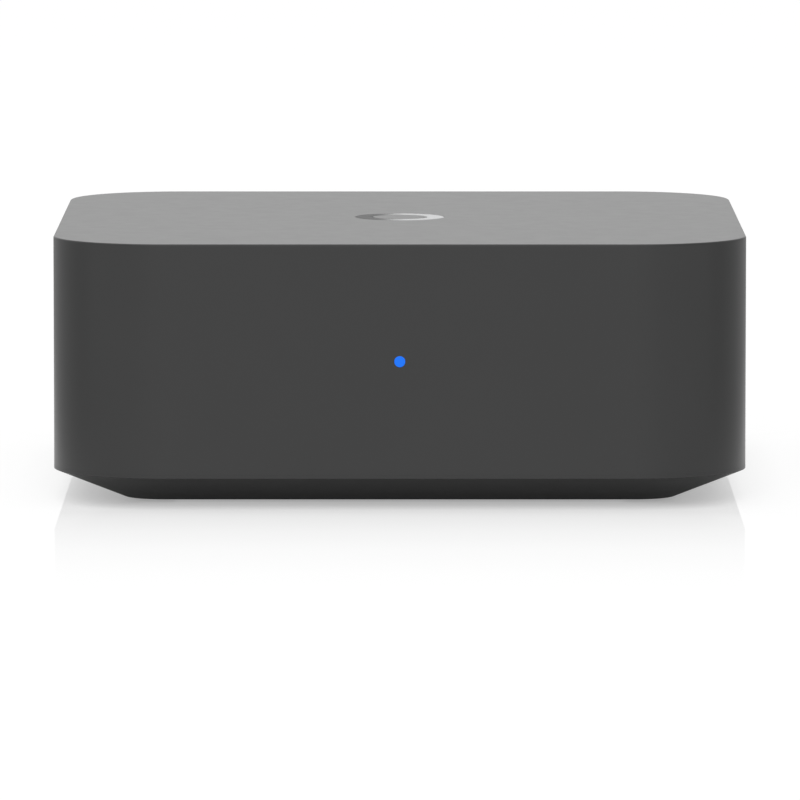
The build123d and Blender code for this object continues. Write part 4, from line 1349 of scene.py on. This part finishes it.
@dataclass
class PanelMarks:
    """Generic marks printed beside the sockets: trays with arrows, a tree of boxes, and others."""

    face: float = 64.2
    ink: float = 0.03
    line: float = 0.32
    gap: float = 0.01
    tray: float = 3.2
    side: float = 1.0
    shaft: float = 1.25
    head: float = 0.85
    box: float = 1.0
    spread: float = 1.4
    stem: float = 0.5
    foot: float = 2.2
    arrow_ring: Point = (1.0, 20.0, 70.0)
    arrow_tip: Point = (0.35, 1.15, -100.0)
    rail_lift: float = 0.8
    dash: float = 0.8
    dash_pitch: float = 1.2
    optical_z: float = 21.4
    line_z: float = 36.6
    middle_z: float = 24.2
    power_z: float = 15.1
    divider: Point = (25.8, 0.2, 27.0)
    shapes: list[Shape] = field(default_factory=list)

    def keep(self, shape: Shape, placing: Placing) -> None:
        """Puts a flat shape in its place and keeps it.

        Args:
            shape: the shape that is being drawn.
            placing: where it goes.
        """
        leave()
        put(shape, placing)
        self.shapes.append(shape)

    def bar(self, x: float, z: float, width: float, height: float) -> None:
        """Prints a filled bar round a middle."""
        self.keep(sheet(width, height), Placing(x, z))

    def tip(self, x: float, z: float, turn: float) -> None:
        """Prints an arrow's head, turned by so many degrees from pointing up."""
        self.keep(ring(self.head, 3, "NGON"), Placing(x, z, spin=turn))

    def band(self, x: float, z: float, radius: float, start: float, sweep: float) -> None:
        """Prints part of a ring.

        Args:
            x: its middle across.
            z: its middle's height.
            radius: its inner radius.
            start: where the gap starts, in degrees from +X.
            sweep: how wide the gap is, in degrees.
        """
        outer = radius + self.line
        shape = ring(outer, 48)
        edit(Pick.EDGES)
        extrude(0.0)
        resize(radius / outer, radius / outer)
        pick(lambda point, normal: (math.degrees(math.atan2(point.y, point.x)) - start) % 360.0 < sweep)
        bpy.ops.mesh.delete(type="FACE")
        self.keep(shape, Placing(x, z))

    def tray_arrow(self, x: float, z: float, outward: bool) -> None:
        """Prints an open tray with an arrow into it or out of it.

        Args:
            x: its middle across.
            z: the tray's underside.
            outward: whether the arrow points out of the tray.
        """
        self.bar(x, z + self.line / 2, self.tray, self.line)
        for way in (-1, 1):
            self.bar(x + way * (self.tray - self.line) / 2, z + self.line + self.gap + self.side / 2,
                     self.line, self.side)
        foot = z + self.foot * self.line
        if outward:
            self.bar(x, foot + self.shaft / 2, self.line, self.shaft)
            self.tip(x, foot + self.shaft + self.gap + self.head / 2, 0.0)
        else:
            self.tip(x, foot + self.head, 180.0)
            self.bar(x, foot + 1.5 * self.head + self.gap + self.shaft / 2, self.line, self.shaft)

    def box_tree(self, x: float, z: float) -> None:
        """Prints one box joined to two boxes under it.

        Args:
            x: its middle across.
            z: its lowest height.
        """
        for way in (-1, 1):
            self.bar(x + way * self.spread, z + self.box / 2, self.box, self.box)
            self.bar(x + way * self.spread, z + self.box + self.gap + self.stem / 2, self.line, self.stem)
        rail = z + self.box + self.stem + 2 * self.gap + self.line / 2
        top = rail + self.line / 2 + self.gap
        self.bar(x, rail, 2 * self.spread + self.line, self.line)
        self.bar(x, top + self.stem / 2, self.line, self.stem)
        self.bar(x, top + self.gap + self.stem + self.box / 2, self.box, self.box)

    def reset_and_power(self, x: float) -> None:
        """Prints a turned arrow over the reset hole, and a line over three dashes over the inlet.

        Args:
            x: the inlet's place across.
        """
        self.band(x, self.middle_z, *self.arrow_ring)
        aside, up, turn = self.arrow_tip
        self.tip(x + aside, self.middle_z + up, turn)
        self.bar(x, self.power_z + self.rail_lift, self.tray, self.line)
        for way in (-1, 0, 1):
            self.bar(x + way * self.dash_pitch, self.power_z, self.dash, self.line)

    def build(self, inlet_x: float, jack_x: float, optical: Pair, line: Pair) -> None:
        """Prints every mark.

        Args:
            inlet_x: the power inlet's place across.
            jack_x: the network jack's.
            optical: the optical output's and input's.
            line: the line output's and input's.
        """
        for (out_x, in_x), z in ((optical, self.optical_z), (line, self.line_z)):
            self.tray_arrow(out_x, z, True)
            self.tray_arrow(in_x, z, False)
        self.box_tree(jack_x, self.middle_z)
        self.reset_and_power(inlet_x)
        self.bar(sum(line) / 2, *self.divider)
        marks = join(self.shapes)
        edit()
        extrude(self.ink)
        leave()
        put(marks, Placing(y=self.face + self.ink, turn=90.0))
        tidy()
        finish(marks, "panel_print", "panel_ink")


CASE_SCREW = SocketScrew(head_radius=2.7, head_height=1.8, radius=1.45, length=10.0, key_width=2.0)
PANEL_SCREW = SocketScrew(head_radius=1.8, head_height=1.2, radius=1.25, length=9.0, key_width=1.6,
                          pitch=0.5)
BOARD_SCREW = SocketScrew(head_radius=2.1, head_height=1.3, radius=1.0, length=5.4, key_width=1.4,
                          pitch=0.45)
SIGNAL_CAN = Can(radius=3.15, height=7.7, foot=6.8)
SUPPLY_CAN = Can(radius=4.0, height=10.5, foot=8.4)
AMPLIFIER_LEGS = ChipLegs(half_depth=2.0, shoulder=0.6, count=4, pitch=1.2)
CONVERTER_LEGS = ChipLegs(half_depth=4.5, shoulder=0.45, count=10, pitch=0.8, width=0.3)

FINISHES: dict[Finish, list[str]] = {
    Moulded("case_plastic", (0.0395, 0.0398, 0.0397), 0.31, relief=0.0003, drift=0.02, unevenness=0.008,
            specular=0.35): ["top_housing", "base_cover"],
    Moulded("panel_plastic", (0.018, 0.018, 0.0185), 0.55, grain=0.35, relief=0.012): ["rear_io_panel"],
    Moulded("button_plastic", (0.03, 0.03, 0.031), 0.5, grain=0.25, relief=0.006): ["reset_button"],
    Moulded("plunger_plastic", (0.55, 0.55, 0.5), 0.4): ["reset_switch_plunger"],
    Moulded("pad_rubber", (0.022, 0.022, 0.023), 0.75, grain=0.3, relief=0.01, specular=0.35): ["foot_pad"],
    Moulded("jack_plastic", (0.012, 0.012, 0.012), 0.3, relief=0.001): [
        "network_jack_insert", "power_inlet_tongue", "optical_out_housing", "optical_in_housing",
        "line_in_block", "line_out_block", "reset_switch_body"],
    Moulded("shutter_plastic", (0.02, 0.02, 0.021), 0.22, relief=0.0008): [
        "optical_out_shutter", "optical_in_shutter"],
    Moulded("insulator_white", (0.72, 0.72, 0.69), 0.35, relief=0.0008): [
        "line_in_left_insulator", "line_out_left_insulator"],
    Moulded("insulator_red", (0.42, 0.012, 0.012), 0.35, relief=0.0008): [
        "line_in_right_insulator", "line_out_right_insulator"],
    Moulded("window_plastic", (0.55, 0.62, 0.35), 0.2, transmission=0.6): ["network_jack_windows"],
    Moulded("optic_plastic", (0.05, 0.006, 0.006), 0.15, coat=0.5): [
        "optical_out_emitter", "optical_in_receiver"],
    Moulded("chip_epoxy", (0.022, 0.022, 0.024), 0.55, grain=0.12, relief=0.004): [
        "processor", "memory_chips", "storage_chip", "audio_converter", "output_amplifiers",
        "network_transformer"],
    Moulded("small_part_ceramic", (0.2, 0.13, 0.08), 0.45): ["chip_parts"],
    Moulded("ferrite", (0.05, 0.05, 0.052), 0.7, grain=0.15, relief=0.008): ["power_inductors"],
    Moulded("thermal_silicone", (0.35, 0.42, 0.5), 0.8, grain=0.3, relief=0.01): ["thermal_pad"],
    Moulded("pin_plastic", (0.5, 0.5, 0.47), 0.45): ["heat_sink_pins"],
    Moulded("lead_jacket", (0.03, 0.03, 0.032), 0.45): ["antenna_lead_left", "antenna_lead_right"],
    Laminate("antenna_film", (0.035, 0.03, 0.02), (0.22, 0.11, 0.045), 6.0, 3.1, Axis.X, 9.0, 0.6): [
        "antenna_left", "antenna_right"],
    Laminate("board_laminate", (0.006, 0.045, 0.02), (0.012, 0.085, 0.035)): [
        "main_board", "wireless_board"],
    # the roof ring's finish paints its reflection: dark on the left, bright on the right
    TwoTone("inlay_metal", (0.45, 0.46, 0.46), (0.085, 0.086, 0.086)): ["inlay_ring"],
    Metal("shield_tin", (0.6, 0.6, 0.58), 0.3, Marks.BRUSHED): [
        "network_jack_shield", "power_inlet_shell", "wireless_shield"],
    Metal("barrel_plating", (0.66, 0.65, 0.61), 0.16, Marks.LATHED, relief=0.0006): [
        "line_in_left_barrel", "line_in_right_barrel", "line_out_left_barrel", "line_out_right_barrel"],
    Metal("contact_gold", (0.83, 0.6, 0.26), 0.25): ["centre_contacts", "network_jack_contacts"],
    Metal("screw_steel", (0.12, 0.12, 0.125), 0.34, relief=0.001): [
        "case_screws", "board_screws", "panel_screws", "optical_out_pin", "optical_in_pin"],
    Metal("can_aluminium", (0.72, 0.72, 0.73), 0.25, Marks.LATHED, Axis.Z, relief=0.0008): [
        "signal_capacitors", "supply_capacitors"],
    Metal("sink_aluminium", (0.13, 0.135, 0.14), 0.45, Marks.BRUSHED, relief=0.004): ["heat_sink"],
    Metal("crystal_can", (0.68, 0.66, 0.6), 0.22): ["clock_crystals"],
    Moulded("panel_ink", (0.34, 0.34, 0.34), 0.6, grain=0.1, relief=0.002): [],
    LitPipe("light_acrylic", (0.023, 0.195, 0.965), CASE_BOX[0].y, 2.4): ["light_pipe", "status_diode"],
}


@dataclass
class Streamer:
    """The dressed streamer: a finish for every CAD node and the pieces modelled here."""

    inlet_x: float = 37.23
    jack_x: float = 21.76
    optical_out_x: float = 5.76
    optical_in_x: float = -7.24
    line_in_x: float = -20.74
    line_out_x: float = -34.74
    low_z: float = 16.4
    high_z: float = 30.4
    panel_screw_y: float = 65.4
    case_screw_spread: float = 45.0
    case_screw_z: float = 1.3
    board_top: float = 9.1
    screw_lift: float = 1.3
    screw_spots: Stops = ((-51.0, 15.0), (51.0, 15.0), (-28.0, -51.0), (28.0, -51.0))
    columns: tuple[float, ...] = (-39.0, -31.0, -23.0, -15.0)
    signal_rows: Pair = (28.25, 37.75)
    supply_spots: Stops = ((48.5, 22.25), (48.5, 31.75))
    amplifier_y: float = 19.0
    converter_spot: Pair = (-27.0, 8.0)
    chip_corners: tuple[Point, ...] = ((-11.2, 2.8, 1.0), (-11.2, -11.2, 1.0), (17.3, -4.7, 1.0),
                                       (-30.8, 4.2, 1.0))
    amplifier_corner: Point = (-1.9, 17.6, 1.5)

    def dress(self) -> None:
        """Makes the finishes and gives them to the CAD nodes."""
        for look, nodes in FINISHES.items():
            material = look.build()
            for name in nodes:
                mesh = frame["nodes"][name].data
                mesh.materials.clear()
                mesh.materials.append(material)
                LOG.info("dressed %s with %s", name, material.name)

    def on_board(self, *spots: Pair) -> list[Placing]:
        """Placings on the board's top."""
        return [Placing(x, y, self.board_top) for x, y in spots]

    def add_case_pieces(self) -> None:
        """Models the ring on the roof, the foot pad, the tray's edge and the case screws."""
        RoofRing().build()
        FootPad().build()
        BevelEdge().build()
        sides = (-self.case_screw_spread, self.case_screw_spread)
        CASE_SCREW.build("case", [Placing(x, y, self.case_screw_z) for x in sides for y in sides])

    def add_socket_pieces(self) -> None:
        """Models the panel screws, the line sockets' barrels and tubes, the inlet's pads and the flaps."""
        middle_z = (self.low_z + self.high_z) / 2
        across = (self.line_in_x, self.line_out_x)
        PANEL_SCREW.build("panel", [Placing(x, self.panel_screw_y, middle_z, 90.0) for x in across])
        sockets = {f"{socket}_{side}": Placing(x, z=z, turn=-90.0)
                   for socket, x in zip(("line_in", "line_out"), across)
                   for side, z in (("right", self.low_z), ("left", self.high_z))}
        for socket, placing in sockets.items():
            LineBarrel().build(socket, placing)
        CentreTubes().build(list(sockets.values()))
        InletPads().build(self.inlet_x)
        optical = (self.optical_out_x, self.optical_in_x)
        for socket, x in zip(("optical_out", "optical_in"), optical):
            OpticalShutter().build(socket, x)
        PanelMarks().build(self.inlet_x, self.jack_x, optical, (self.line_out_x, self.line_in_x))

    def add_board_pieces(self) -> None:
        """Models the board's screws and capacitors, the chips' legs and dots, and the small parts' ends."""
        lifted = self.board_top + self.screw_lift
        BOARD_SCREW.build("board", [Placing(x, y, lifted, 180.0) for x, y in self.screw_spots])
        SIGNAL_CAN.build("signal", self.on_board(*((x, y) for x in self.columns for y in self.signal_rows)))
        SUPPLY_CAN.build("supply", self.on_board(*self.supply_spots))
        amplifiers = self.on_board(*((x, self.amplifier_y) for x in self.columns))
        AMPLIFIER_LEGS.build("amplifier_legs", amplifiers)
        CONVERTER_LEGS.build("converter_legs", self.on_board(self.converter_spot))
        aside, y, top = self.amplifier_corner
        corners = [*self.chip_corners, *((x + aside, y, top) for x in self.columns)]
        ChipDots().build([Placing(x, y, self.board_top + top) for x, y, top in corners])
        ChipEnds().build(self.board_top)

    def build(self) -> None:
        """Builds everything."""
        self.dress()
        self.add_case_pieces()
        self.add_socket_pieces()
        self.add_board_pieces()


def main() -> None:
    """Builds the studio and the streamer."""
    logging.basicConfig(level=logging.INFO)
    bpy.context.scene.view_settings.view_transform = "Standard"
    PhotoView().make()
    Studio().make()
    Streamer().build()


if __name__ == "__main__":
    main()
